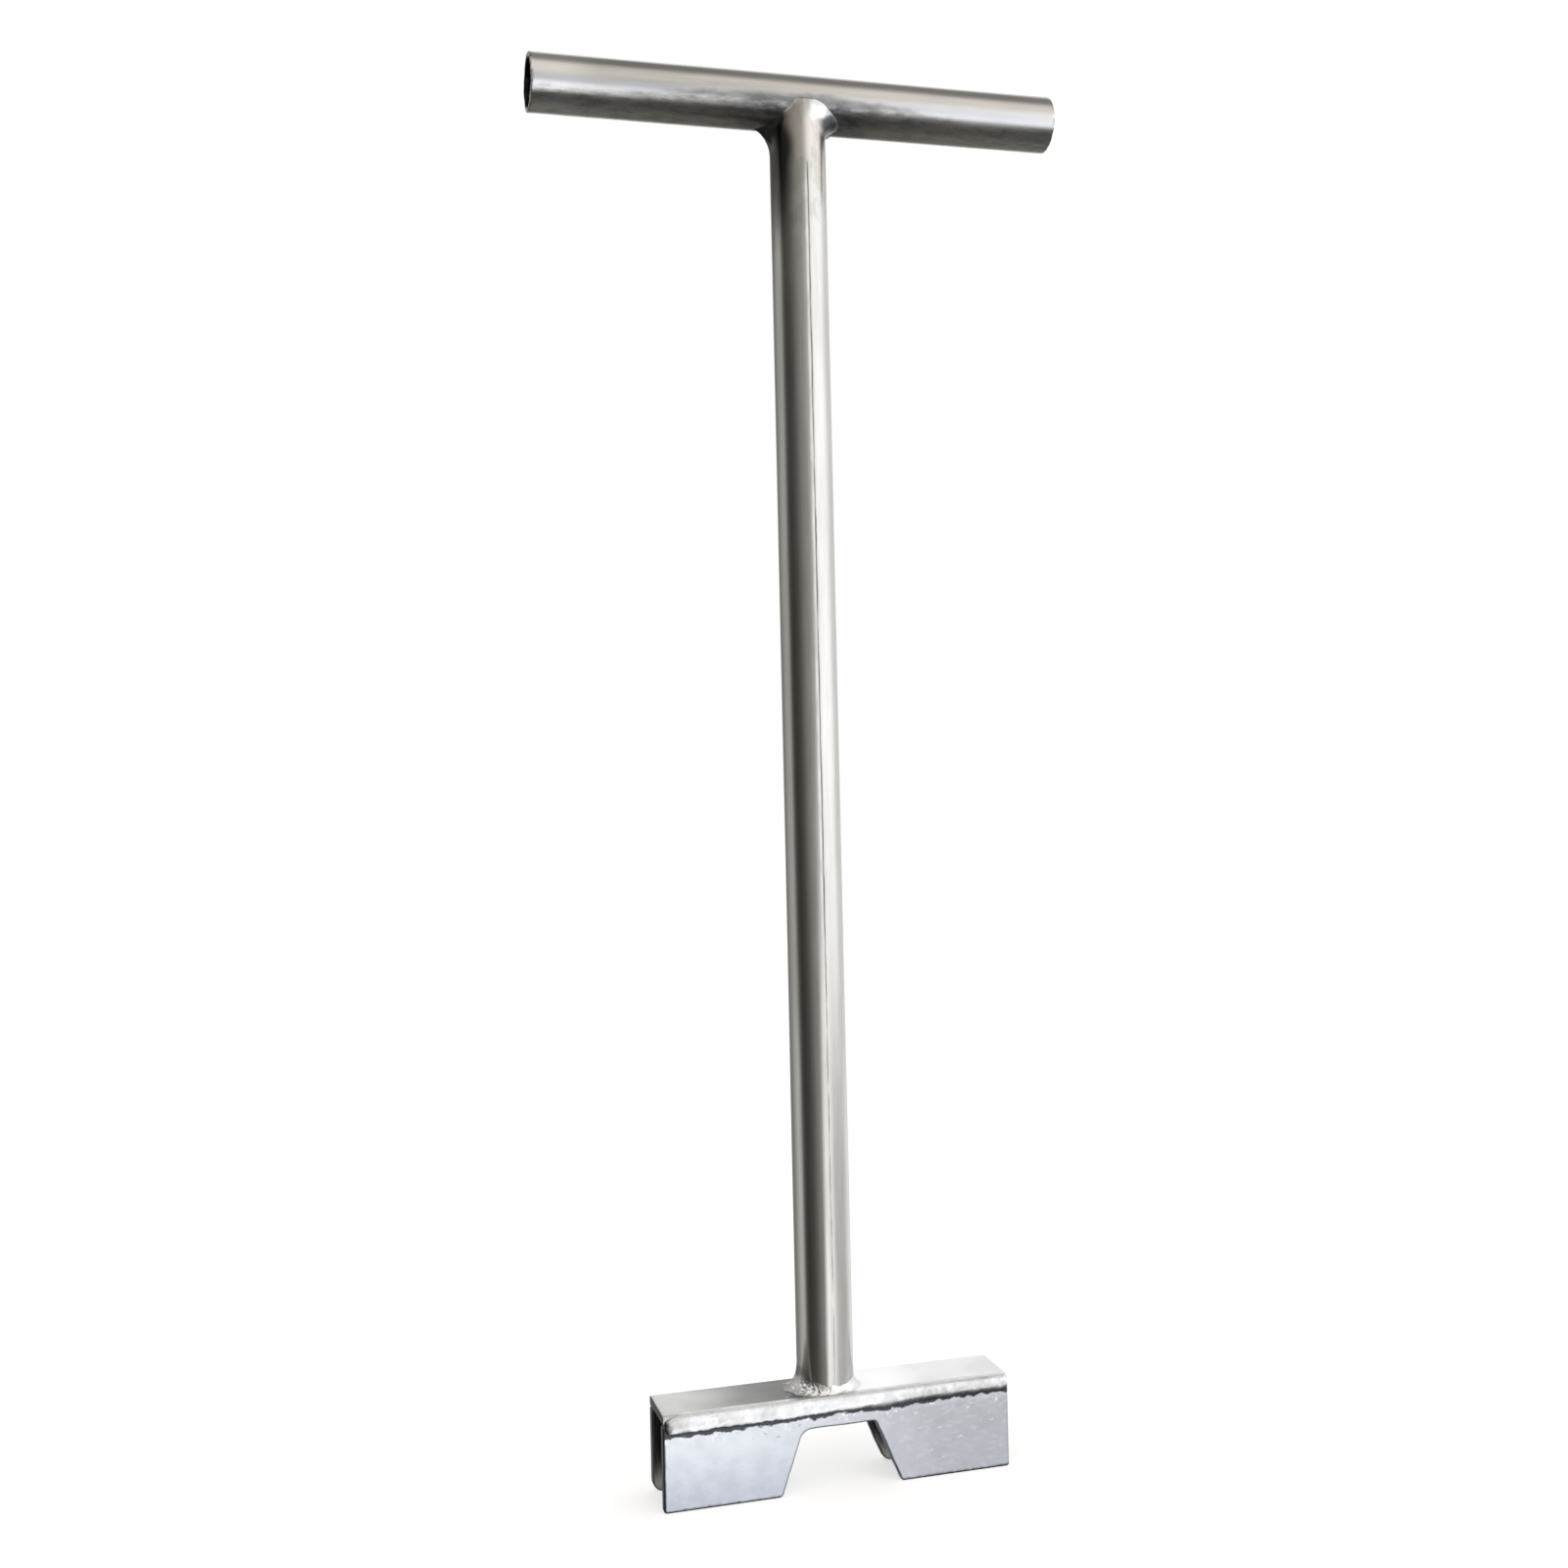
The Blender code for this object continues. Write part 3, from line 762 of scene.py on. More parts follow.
@dataclass
class SeamBead(Piece):
    """A weld bead run along one upper long edge of the head.

    Two profiles, for its left part and its right part, list points round the section: how
    far each stands off the plate's face, and its share of the way from the bead's top
    down to its toe.
    """

    slot = Slot.WELD
    corner_angle = 60.0
    wrap_rows = False
    side: Side
    start: float = -66.4
    end: float = 70.9
    face_y: float = PLATE_FACE_Y
    top_z: float = 36.12
    toe_z: float = 29.1
    curl: float = 0.8
    rise: float = 0.6
    seed: int = 41
    step: float = 0.22
    steps_between: int = 5
    start_fade: float = 3.4
    end_fade: float = 1.9
    begin_length: float = 8.0
    change_x: Pair = (-12.0, 33.0)
    lump_off: float = 0.20
    lump_off_cell: float = 4.6
    lump_rise: float = 0.13
    lump_rise_cell: float = 2.6
    settle: float = 0.04
    toe_residue_and_shade: float = 0.62
    slope_shade_height: float = 4.4
    struck_length: float = 1.7
    crater_length: float = 4.0
    left_profile: Profile = (
        (-2.70, 0.030), (-1.90, 0.013), (-0.90, 0.003), (-0.02, 0.005), (0.14, 0.013), (0.27, 0.037),
        (0.58, 0.11), (0.84, 0.21), (0.86, 0.31), (0.98, 0.43), (1.20, 0.56), (1.33, 0.69), (1.34, 0.80),
        (1.22, 0.89), (0.86, 0.955), (0.35, 0.985), (-0.20, 1.0), (-0.45, 0.97),
        (-0.62, 0.85), (-0.62, 0.48), (-2.20, 0.42), (-2.80, 0.16),
    )  # fmt: skip
    right_profile: Profile = (
        (-2.70, 0.030), (-1.90, 0.013), (-0.90, 0.003), (-0.02, 0.005), (0.15, 0.013), (0.30, 0.037),
        (0.68, 0.11), (0.99, 0.21), (1.06, 0.31), (1.18, 0.41), (1.30, 0.51), (1.32, 0.61), (1.22, 0.71),
        (1.00, 0.81), (0.66, 0.90), (0.28, 0.96), (-0.20, 1.0), (-0.45, 0.97),
        (-0.62, 0.85), (-0.62, 0.48), (-2.20, 0.42), (-2.80, 0.16),
    )  # fmt: skip

    def __post_init__(self) -> None:
        """Name the bead after its side."""
        self.node = f"{self.side.name.lower()}_seam_weld"
        self.name = self.node.replace("_weld", "_bead")

    def toe(self, x: Array) -> Array:
        """The toe's height: it sways, dips in a curl near the start, and rises to the right.

        Args:
            x: Places along the head.

        Returns:
            The height at each.
        """
        line = x[:, None] * RIGHT
        dip = self.curl * bell(x - self.start - 6.0, 4.5)
        lift = self.rise * (1 + np.tanh((x - 32.0) / 14.0)) / 2
        sway = 0.24 * Grain(self.seed).at(line, 17.0)
        sway = sway + 0.34 * Grain(self.seed + 1).rough(line, 6.5, 4)
        sway = sway + 0.30 * Grain(self.seed + 2).rough(line, 2.3, 2)
        return self.toe_z - dip + lift + sway

    def soot(self, points: Array) -> Array:
        """The residue and painted shade on the bead: full at the toe, none a ragged way above it.

        The start of the bead is dark where the arc was struck, and its end has a dark
        crater. Past the shaft a painted shade thins out from the toe up over most of the bead's height.
        Elsewhere it is scoured bright, and the shoulder brightest, by a painted highlight.

        Args:
            points: Places on the bead, n by 3.

        Returns:
            The share of residue and painted shade at each, less than none where it is bright.
        """
        x, _, z = points.T
        ragged = 1 + 0.45 * Grain(self.seed + 8).rough(points, 1.4)
        above = z - self.toe(x)
        late = ramp(x, 6.0, 36.0)
        # Painted highlight along the bead's top shoulder
        shoulder = 0.45 * ramp(z, 35.0, 35.6)
        struck = (1.3 - (x - self.start) / (self.struck_length * ragged)) * ramp(-z, -35.2, -34.4)
        crater = Grain(self.seed + 12).rough(points, 1.1) - (self.end - x) / self.crater_length
        # Residue and the painted shadow of the undercut along the toe
        toe_line = 1.5 - 0.6 * late - above / (self.toe_residue_and_shade * ragged)
        # Painted shade over the bead's lower part, past the shaft
        slope = late * (1.85 - above / (self.slope_shade_height * ragged)) - 1 - 2 * shoulder
        clean = 0.40 * Grain(self.seed + 14).rough(points * [0.6, 1, 1], 3.2, 2) - 0.55 - shoulder
        return np.maximum.reduce([toe_line, slope, struck, 2.2 * crater, clean])

    def undercut_shadow_and_scorch(self, points: Array) -> Array:
        """The plate's dark line below the bead, negative where spatter scoured it bright.

        The dark line is painted shadow of the bead's undercut, with slag and heat marks.

        Args:
            points: Places on the plate, n by 3.

        Returns:
            The share of painted shadow and heat marks at each.
        """
        place = points * [1, 0, 1]
        x = points[:, 0]
        below = self.toe(x) - points[:, 2]
        jag = Grain(self.seed + 9).rough(place, 2.1)
        drift = Grain(self.seed + 11).at(place * RIGHT, 8.0)
        deep = np.interp(x, [-20.0, 30.0, 50.0], [0.85, 0.6, 0.1])
        # Painted shadow of the bead's undercut, with slag and heat marks
        dark = np.clip(1.30 - (below - deep - 0.95 * jag - 0.35 * drift) / 0.36, 0, 1)
        right = np.clip((x + 22.0) / 20.0, 0.12, 1)
        fringe = np.clip(1.1 - below / 2.6, 0, 1) * (0.45 + 0.55 * jag) * right
        flecks = np.clip(4.5 * (Grain(self.seed + 10).rough(place, 1.5) - 0.38), 0, 1)
        near = np.clip(1.25 - below / 4.5, 0, 1)
        bright = np.clip(np.maximum(0.75 * fringe, 0.9 * flecks * near), 0, 1)
        return np.where(dark > 0.05, dark, -bright)

    def sections(self) -> tuple[Array, Array]:
        """Both profiles, each as one smooth closed loop through its points.

        Returns:
            The left and the right loop, as how far off the face and what share of the way down.
        """
        points = np.array([self.left_profile, self.right_profile])[:, :, None]
        before, there, beyond = (np.roll(points, k, axis=1) for k in (1, -1, -2))
        t = (np.arange(self.steps_between) / self.steps_between)[:, None]
        left, right = between(before, points, there, beyond, t).reshape(2, -1, 2)
        return left, right

    def grids(self) -> list[Array]:
        """The bead as sections along X, each a profile stretched between top and toe.

        The left profile eases into the right one past the shaft. Both ends draw in to a
        dome by a quarter circle and close in a point. Bumps are added outwards, as much
        as a point stands off the face.

        Returns:
            The surface, as one grid.
        """
        count = round((self.end - self.start) / self.step)
        x = np.linspace(self.start, self.end, count)[:, None]
        left, right = self.sections()
        late = ramp(x, *self.change_x)[..., None]
        loop = left * (1 - late) + right * late
        near = np.minimum((x - self.start) / self.start_fade, (self.end - x) / self.end_fade)
        full = np.sqrt(1 - (1 - np.clip(near, 0, 1)) ** 2)
        begun = 1 - (1 - ramp(x, self.start, self.start + self.begin_length)) ** 2
        toe = self.toe(x[:, 0])[:, None]
        middle = 0.42 * self.top_z + 0.58 * toe
        top = middle + (0.10 + 0.90 * np.minimum(full, 0.35 + 0.65 * begun)) * (self.top_z - middle)
        foot = middle + (0.10 + 0.90 * full) * (toe - middle)
        z = top + (foot - top) * loop[..., 1]
        standing = loop[..., 0]
        off = np.where(standing > -0.5, -0.5 + (standing + 0.5) * full, standing)
        y = self.face_y + off
        place = np.stack([x + 0 * z, y, z], axis=-1)
        proud = ramp(off, -0.5, 0.7) * full
        lumps = Grain(self.seed + 3).rough(place * [0.7, 1, 1], self.lump_off_cell, 4)
        y = y + (self.lump_off * lumps - self.settle) * proud
        z = z + self.lump_rise * Grain(self.seed + 5).rough(place, self.lump_rise_cell, 4) * proud
        rows = np.stack([x + 0 * y, self.side.value * y, z], axis=-1)
        ends = rows[[0, -1]].mean(axis=1, keepdims=True) + 0 * rows[[0, -1]]
        return [np.concatenate([ends[:1], rows, ends[1:]])]


# Plates of the head


@dataclass
class SidePlate(Piece):
    """One notched side plate of the head, with the bead above it."""

    slot = Slot.PLATE
    corner_angle = 40.0
    wrap_rows = False
    wrap_columns = False
    bead: SeamBead
    foot_radii: tuple[float, float, float, float]
    outer_y: float = PLATE_FACE_Y
    thickness: float = 4.0
    edge: float = 0.8
    start_x: float = HEAD_START_X
    end_x: float = HEAD_END_X
    top_z: float = 32.7
    top_radius: float = 1.2
    notch_z: float = 24.3
    notch_foot: Pair = (-21.3, 26.5)
    notch_top: Pair = (-12.6, 16.2)
    notch_radius: Pair = (4.8, 1.4)
    cut_wander: float = 0.16
    hollow: float = 0.03
    hollow_cell: Triple = (26.0, 26.0, 14.0)
    sunk: float = 0.05
    scar: float = 0.05
    scar_cell: Triple = (0.8, 4.0, 4.0)
    scale_reach: Pair = (1.25, 1.35)
    spacing: float = 0.35
    corner_steps: int = 8
    rim_points: int = 9
    near_edge: Stations = (0, 0.03, 0.09, 0.18, 0.32, 0.5, 0.75, 1.1, 1.6)

    def __post_init__(self) -> None:
        """Name the plate after its side."""
        self.name = f"{self.bead.side.name.lower()}_plate"
        self.node = f"head_{self.name}"

    def lower_edge(self) -> Array:
        """The lower outline from left to right, notch included, at even steps.

        Points on the two upright ends are dropped but for one on each.

        Returns:
            Points as (x, z).
        """
        half = self.top_z / 2
        corners = [
            (self.start_x, half, 0.0),
            (self.start_x, 0.0, self.foot_radii[0]),
            (self.notch_foot[0], 0.0, self.foot_radii[1]),
            (self.notch_top[0], self.notch_z, self.notch_radius[0]),
            (self.notch_top[1], self.notch_z, self.notch_radius[1]),
            (self.notch_foot[1], 0.0, self.foot_radii[2]),
            (self.end_x, 0.0, self.foot_radii[3]),
            (self.end_x, half, 0.0),
        ]
        path = resample(rounded_path(corners, self.corner_steps), self.spacing)
        inside = (path[:, 0] > self.start_x + TOUCHING) & (path[:, 0] < self.end_x - TOUCHING)
        first, last = np.flatnonzero(inside)[[0, -1]]
        return path[first - 1 : last + 2]

    def face_grid(self) -> tuple[Array, Array]:
        """Places on the plate's face, and how far each lies from the outline.

        Columns stand at the lower outline's X values. In each, the heights run from the
        lower outline to the top edge: close together near both, and even between. The
        cut of the notch wanders along the outline's normal, as a torch leaves it.

        Returns:
            Places as rows by columns by (x, z), and distances as rows by columns.
        """
        lower = self.lower_edge()
        cut = (lower[:, 1] > 0.3) & (np.abs(lower[:, 0]) < 40.0)
        wander = self.cut_wander * Grain(51).rough(np.pad(lower, ((0, 0), (0, 1))), 4.0, 2)
        slope = np.gradient(lower, axis=0)
        normal = unit(np.stack([-slope[:, 1], slope[:, 0]], axis=-1))
        lower = lower + np.where(cut, wander, 0)[:, None] * normal
        lower[:, 0] = np.maximum.accumulate(lower[:, 0])
        corner = [self.start_x, self.start_x + self.top_radius]
        upper = np.interp(lower[:, 0], corner, [self.top_z - self.top_radius, self.top_z])
        near = np.array(self.near_edge)[:, None]
        height = upper - lower[:, 1]
        middle = np.concatenate([np.linspace(0, 0.76, 20)[1:], np.linspace(0.77, 0.985, 30)])
        low_part = np.repeat(near, len(lower), axis=1)
        mid_part = near[-1] + middle[:, None] * (height - 2 * near[-1])
        high_part = height - near[::-1]
        z = lower[:, 1] + np.concatenate([low_part, mid_part, high_part])
        grid = np.stack([np.broadcast_to(lower[:, 0], z.shape), z], axis=-1)
        outline = np.concatenate([lower, np.stack([lower[::-1, 0], upper[::-1]], axis=-1)])
        return grid, distance_to_outline(grid, outline)

    def grids(self) -> list[Array]:
        """The plate as two face grids and the rim between them.

        A face lies at its plane less a quarter circle within the edge radius of the
        outline. The rim joins the rows, columns and corners of both faces.

        Returns:
            The outer face, the inner face and the rim.
        """
        grid, inside = self.face_grid()
        short = np.clip(self.edge - inside, 0, None)
        fall = self.edge - np.sqrt(np.clip(self.edge**2 - short**2, 0, None))
        flat = np.stack([grid[..., 0], 0 * inside, grid[..., 1]], axis=-1)
        hollow = self.hollow * Grain(53).at(flat, self.hollow_cell) * np.clip(inside / 3.0, 0, 1)
        outer = self.outer_y - fall + hollow - self.sunk
        inner = self.outer_y - self.thickness + fall
        sign = self.bead.side.value
        front, back = (np.stack([grid[..., 0], sign * y, grid[..., 1]], axis=-1) for y in (outer, inner))
        share = np.linspace(0, 1, self.rim_points)[:, None, None]
        rim = rim_of(front) * (1 - share) + rim_of(back) * share
        scar = self.scar * Grain(57).at(rim, self.scar_cell) * np.sin(np.pi * share[..., 0])
        rim[..., 2] += np.where(rim[..., 2] > 0.2, scar, 0)
        return [front, back, rim]

    def covers(self, x: Array, z: Array, margin: float) -> Array:
        """Whether places on the plate's face lie at least a margin inside its outline.

        Args:
            x: Their places along the head.
            z: Their heights.
            margin: How far inside they have to be.

        Returns:
            True or False for each.
        """
        edge_x, edge_z = self.lower_edge().T
        floor = np.max([np.interp(x + aside, edge_x, edge_z) for aside in (-margin, 0.0, margin)], axis=0)
        inside = (x > self.start_x + margin) & (x < self.end_x - margin)
        return inside & (z > floor + margin) & (z < self.top_z - margin)

    def scale(self, points: Array) -> Array:
        """The dark scale on the cut edges, and painted shade with scale over the inner face.

        At the left edge and the feet it falls from full at the edge to none a ragged way
        in. Inside, the painted shade of the channel is heavy above, thins out towards the
        feet, and runs in streaks.

        Args:
            points: Places on the plate, n by 3.

        Returns:
            The share of scale and painted shade at each.
        """
        ragged = 1 + 0.40 * Grain(59).rough(points, 1.6, 2)
        from_left = (points[:, 0] - self.start_x) / (self.scale_reach[0] * ragged)
        from_foot = points[:, 2] / (self.scale_reach[1] * ragged)
        outer = np.clip(1.5 - 1.5 * np.minimum(from_left, from_foot), 0, 1)
        depth = np.abs(points[:, 1])
        on_end = (points[:, 0] < self.start_x + 0.3) & (depth < self.outer_y - 0.8)
        streak = 0.5 * Grain(61).rough(points * [1, 1, 0.12], 1.1)
        outer = np.where(on_end, 0.78 + 0.4 * streak, outer)
        # Painted shade in the channel between the plates, heaviest above
        inner = 0.66 + 0.24 * ramp(points[:, 2], 4.0, 12.0) + 0.60 * streak
        return np.where(depth < self.outer_y - self.thickness + 0.5, inner, outer)

    def soot(self, points: Array) -> Array:
        """The plate's scale and painted shade, or the bead's heat marks and painted shadow if stronger.

        Args:
            points: Places on the plate, n by 3.

        Returns:
            The share of soot and painted shade at each, less than none where it is bright.
        """
        scale = self.scale(points)
        # The bead's heat marks and painted undercut shadow
        undercut_shadow_and_scorch = self.bead.undercut_shadow_and_scorch(points)
        outer = np.abs(points[:, 1]) > self.outer_y - 0.4
        return np.where(outer & (np.abs(undercut_shadow_and_scorch) > np.clip(scale, 0, 1)), undercut_shadow_and_scorch, scale)


@dataclass
class TopPlate(Piece):
    """The flat bar that caps the two side plates."""

    name = "top_plate"
    node = "head_top_plate"
    slot = Slot.BAR
    corner_angle = 40.0
    wrap_rows = False
    start_x: float = HEAD_START_X
    end_x: float = HEAD_END_X
    front_y: float = -11.9
    rear_y: float = 12.1
    under_z: float = 32.9
    top_z: float = HEAD_TOP_Z
    edge: float = 0.5
    edge_points: int = 6
    end_points: int = 5
    spacing: float = 0.45
    middle_rows: int = 178
    dent_depth: float = 0.03
    dent_cell: Triple = (30.0, 12.0, 40.0)

    def section(self, centre: Array) -> Array:
        """The bar's section, a rectangle whose corners are quarter circles.

        Args:
            centre: The middle of the section.

        Returns:
            Points round it, as (y, z).
        """
        corners = [
            (self.rear_y, self.top_z),
            (self.front_y, self.top_z),
            (self.front_y, self.under_z),
            (self.rear_y, self.under_z),
        ]
        turn = np.linspace(0, np.pi / 2, self.edge_points)
        loop = []
        for quarter, corner in enumerate(np.array(corners)):
            inward = np.sign(centre - corner) * self.edge
            angle = turn + quarter * np.pi / 2
            arc = np.stack([np.cos(angle), np.sin(angle)], axis=-1) * self.edge
            loop.append(corner + inward + arc)
        return resample(np.vstack([*loop, loop[0][:1]]), self.spacing)[:-1]

    def grids(self) -> list[Array]:
        """The bar as sections along X, with closed ends.

        Towards each end the section draws in by the edge radius along a quarter circle,
        and the last one shrinks to the middle.

        Returns:
            The surface, as one grid.
        """
        half_size = np.array([self.rear_y - self.front_y, self.top_z - self.under_z]) / 2
        centre = np.array([self.front_y, self.under_z]) + half_size
        section = self.section(centre)
        turn = np.linspace(0, np.pi / 2, self.end_points)
        from_end = np.concatenate([[0], self.edge * (1 - np.cos(turn))])
        drawn_in = np.concatenate([[self.edge], self.edge * (1 - np.sin(turn))])
        middle = np.linspace(self.start_x + self.edge, self.end_x - self.edge, self.middle_rows + 2)[1:-1]
        x = np.concatenate([self.start_x + from_end, middle, self.end_x - from_end[::-1]])
        inset = np.concatenate([drawn_in, np.zeros(self.middle_rows), drawn_in[::-1]])
        shrink = 1 - inset[:, None, None] / half_size
        shrink[[0, -1]] = 0.0
        body = (section - centre)[None] * shrink + centre
        place = np.concatenate([np.repeat(x[:, None, None], len(section), axis=1), body], axis=-1)
        place[..., 2] += self.dent_depth * (Grain(61).at(place, self.dent_cell) - 1)
        return [place]

    def soot(self, points: Array) -> Array:
        """The dark scale on the sawn left end.

        Args:
            points: Places on the bar, n by 3.

        Returns:
            The share of scale at each.
        """
        streak = Grain(63).rough(points * [1, 1, 0.2], 1.5, 2)
        on_end = ramp(self.start_x - points[:, 0], -0.45, -0.15)
        return on_end * (0.85 + 0.2 * streak)


@dataclass
class Spatter(Piece):
    """Drops of weld metal that froze on flat faces: low domes of a few dozen faces.

    Each splash gives its place on the front plate, X then Z, and how wide it is.
    """

    name = "spatter_drops"
    slot = Slot.WELD
    corner_angle = 60.0
    wrap_rows = False
    plate: SidePlate
    foot: FootWeld
    seed: int = 71
    rings: int = 4
    sectors: int = 8
    squash: float = 0.17
    splash_drops: int = 7
    strays: int = 60
    cap_drops: int = 30
    stretches: Pair = (0.9, 2.3)
    splash_radii: Pair = (0.10, 0.38)
    stray_radii: Pair = (0.10, 0.24)
    cap_radii: Pair = (0.10, 0.30)
    stray_x: Pair = (-64.0, 69.0)
    margin: float = 0.9
    cap_half_depth: float = 10.6
    splashes: tuple[Triple, ...] = (
        (53.9, 24.8, 1.1), (55.4, 26.4, 0.5), (63.9, 19.2, 0.5), (34.4, 19.5, 0.5), (42.4, 18.6, 0.5),
        (38.6, 10.1, 0.7), (43.9, 7.0, 0.5), (50.9, 14.3, 0.3), (29.5, 26.0, 0.9), (-22.5, 23.4, 0.9),
        (-27.0, 25.2, 1.2), (-14.6, 26.2, 0.9), (8.0, 26.6, 1.0),
    )  # fmt: skip

    def domes(self, centres: Array, radii: Array, normal: Array) -> Array:
        """Every drop as a closed grid of points, all worked out together.

        A drop is a ball squashed along the normal, stretched along X by a share of its
        own, with its middle on the face.

        Args:
            centres: Points on the face.
            radii: The drops' radii.
            normal: The face's outward direction.

        Returns:
            Drops by rings by sectors by 3.
        """
        polar = np.linspace(0, np.pi, self.rings + 2)[:, None, None]
        turn = np.linspace(0, 2 * np.pi, self.sectors, endpoint=False)[None, :, None]
        rng = np.random.default_rng(self.seed + 5)
        stretch = rng.uniform(*self.stretches, len(radii))[:, None, None, None]
        ball = np.sin(polar) * np.sin(turn) * np.cross(normal, RIGHT)
        ball = ball + self.squash * np.cos(polar) * np.ones_like(turn) * normal
        ball = ball + stretch * (np.sin(polar) * np.cos(turn) * RIGHT)
        return centres[:, None, None, :] + radii[:, None, None, None] * ball

    def on_front(self) -> Array:
        """Drops on the front plate: splashes of several drops each, and strays under the bead.

        Returns:
            One grid for each drop that lands inside the plate's outline.
        """
        rng = np.random.default_rng(self.seed)
        splash = np.repeat(np.array(self.splashes), self.splash_drops, axis=0)
        count = len(splash)
        spread = splash[:, 2:] * rng.normal(0, 0.9, (count, 1)) * [1, 0.35]
        spread = spread + rng.normal(0, 0.20, (count, 2))
        under = rng.uniform(*self.stray_x, self.strays)
        fall = rng.exponential(1.6, self.strays)
        x = np.concatenate([splash[:, 0] + spread[:, 0], under])
        z = np.concatenate([splash[:, 1] + spread[:, 1], self.plate.bead.toe(under) - 1.4 - fall])
        splash_radii = rng.uniform(*self.splash_radii, count)
        radii = np.concatenate([splash_radii, rng.uniform(*self.stray_radii, self.strays)])
        keep = self.plate.covers(x, z, self.margin)
        centres = np.stack([x, np.full_like(x, 0.03 - self.plate.outer_y), z], axis=-1)
        return self.domes(centres[keep], radii[keep], np.array([0.0, -1.0, 0.0]))

    def on_cap(self) -> Array:
        """Drops on the top plate, round the left and front of the shaft's foot.

        Returns:
            One grid for each drop that lands on the plate.
        """
        rng = np.random.default_rng(self.seed + 1)
        turn = rng.normal(np.pi * 1.10, 0.60, self.cap_drops)
        reach = self.foot.radius + around(turn, self.foot.out_on_plate)
        reach = reach + rng.exponential(0.9, self.cap_drops)
        level = np.full(self.cap_drops, self.foot.plate_z - 0.04)
        centres = np.stack([reach * np.cos(turn), reach * np.sin(turn), level], axis=-1)
        keep = np.abs(centres[:, 1]) < self.cap_half_depth
        radii = rng.uniform(*self.cap_radii, self.cap_drops)
        return self.domes(centres[keep], radii[keep], UP)

    def grids(self) -> list[Array]:
        """Every drop, those on the front plate first."""
        return [*self.on_front(), *self.on_cap()]


# Shader nodes


class Value:
    """A number or a colour that a shader works out at each place, open to plain arithmetic."""

    def __init__(self, sheet: "NodeSheet", socket: bpy.types.NodeSocket) -> None:
        """Hold the socket that gives it."""
        self.sheet = sheet
        self.socket = socket

    def __add__(self, other: "Value | float") -> "Value":
        """This number and another added."""
        return self.sheet.maths("ADD", self, other)

    def __mul__(self, other: "Value | float") -> "Value":
        """This number times another."""
        return self.sheet.maths("MULTIPLY", self, other)

    def __or__(self, other: "Value | float") -> "Value":
        """The larger of this number and another."""
        return self.sheet.maths("MAXIMUM", self, other)

    def __abs__(self) -> "Value":
        """This number without its sign."""
        return self.sheet.maths("ABSOLUTE", self)

    def step(self, low: float, high: float, bottom: float = 0.0, top: float = 1.0) -> "Value":
        """A smooth step from bottom where this number is low to top where it is high.

        Args:
            low: Where the step starts, which may be above where it ends.
            high: Where the step ends.
            bottom: The result before the step.
            top: The result after it.

        Returns:
            The stepped number.
        """
        inputs = {"Value": self, "From Min": low, "From Max": high, "To Min": bottom, "To Max": top}
        return self.sheet.add("MapRange", inputs, interpolation_type="SMOOTHSTEP")


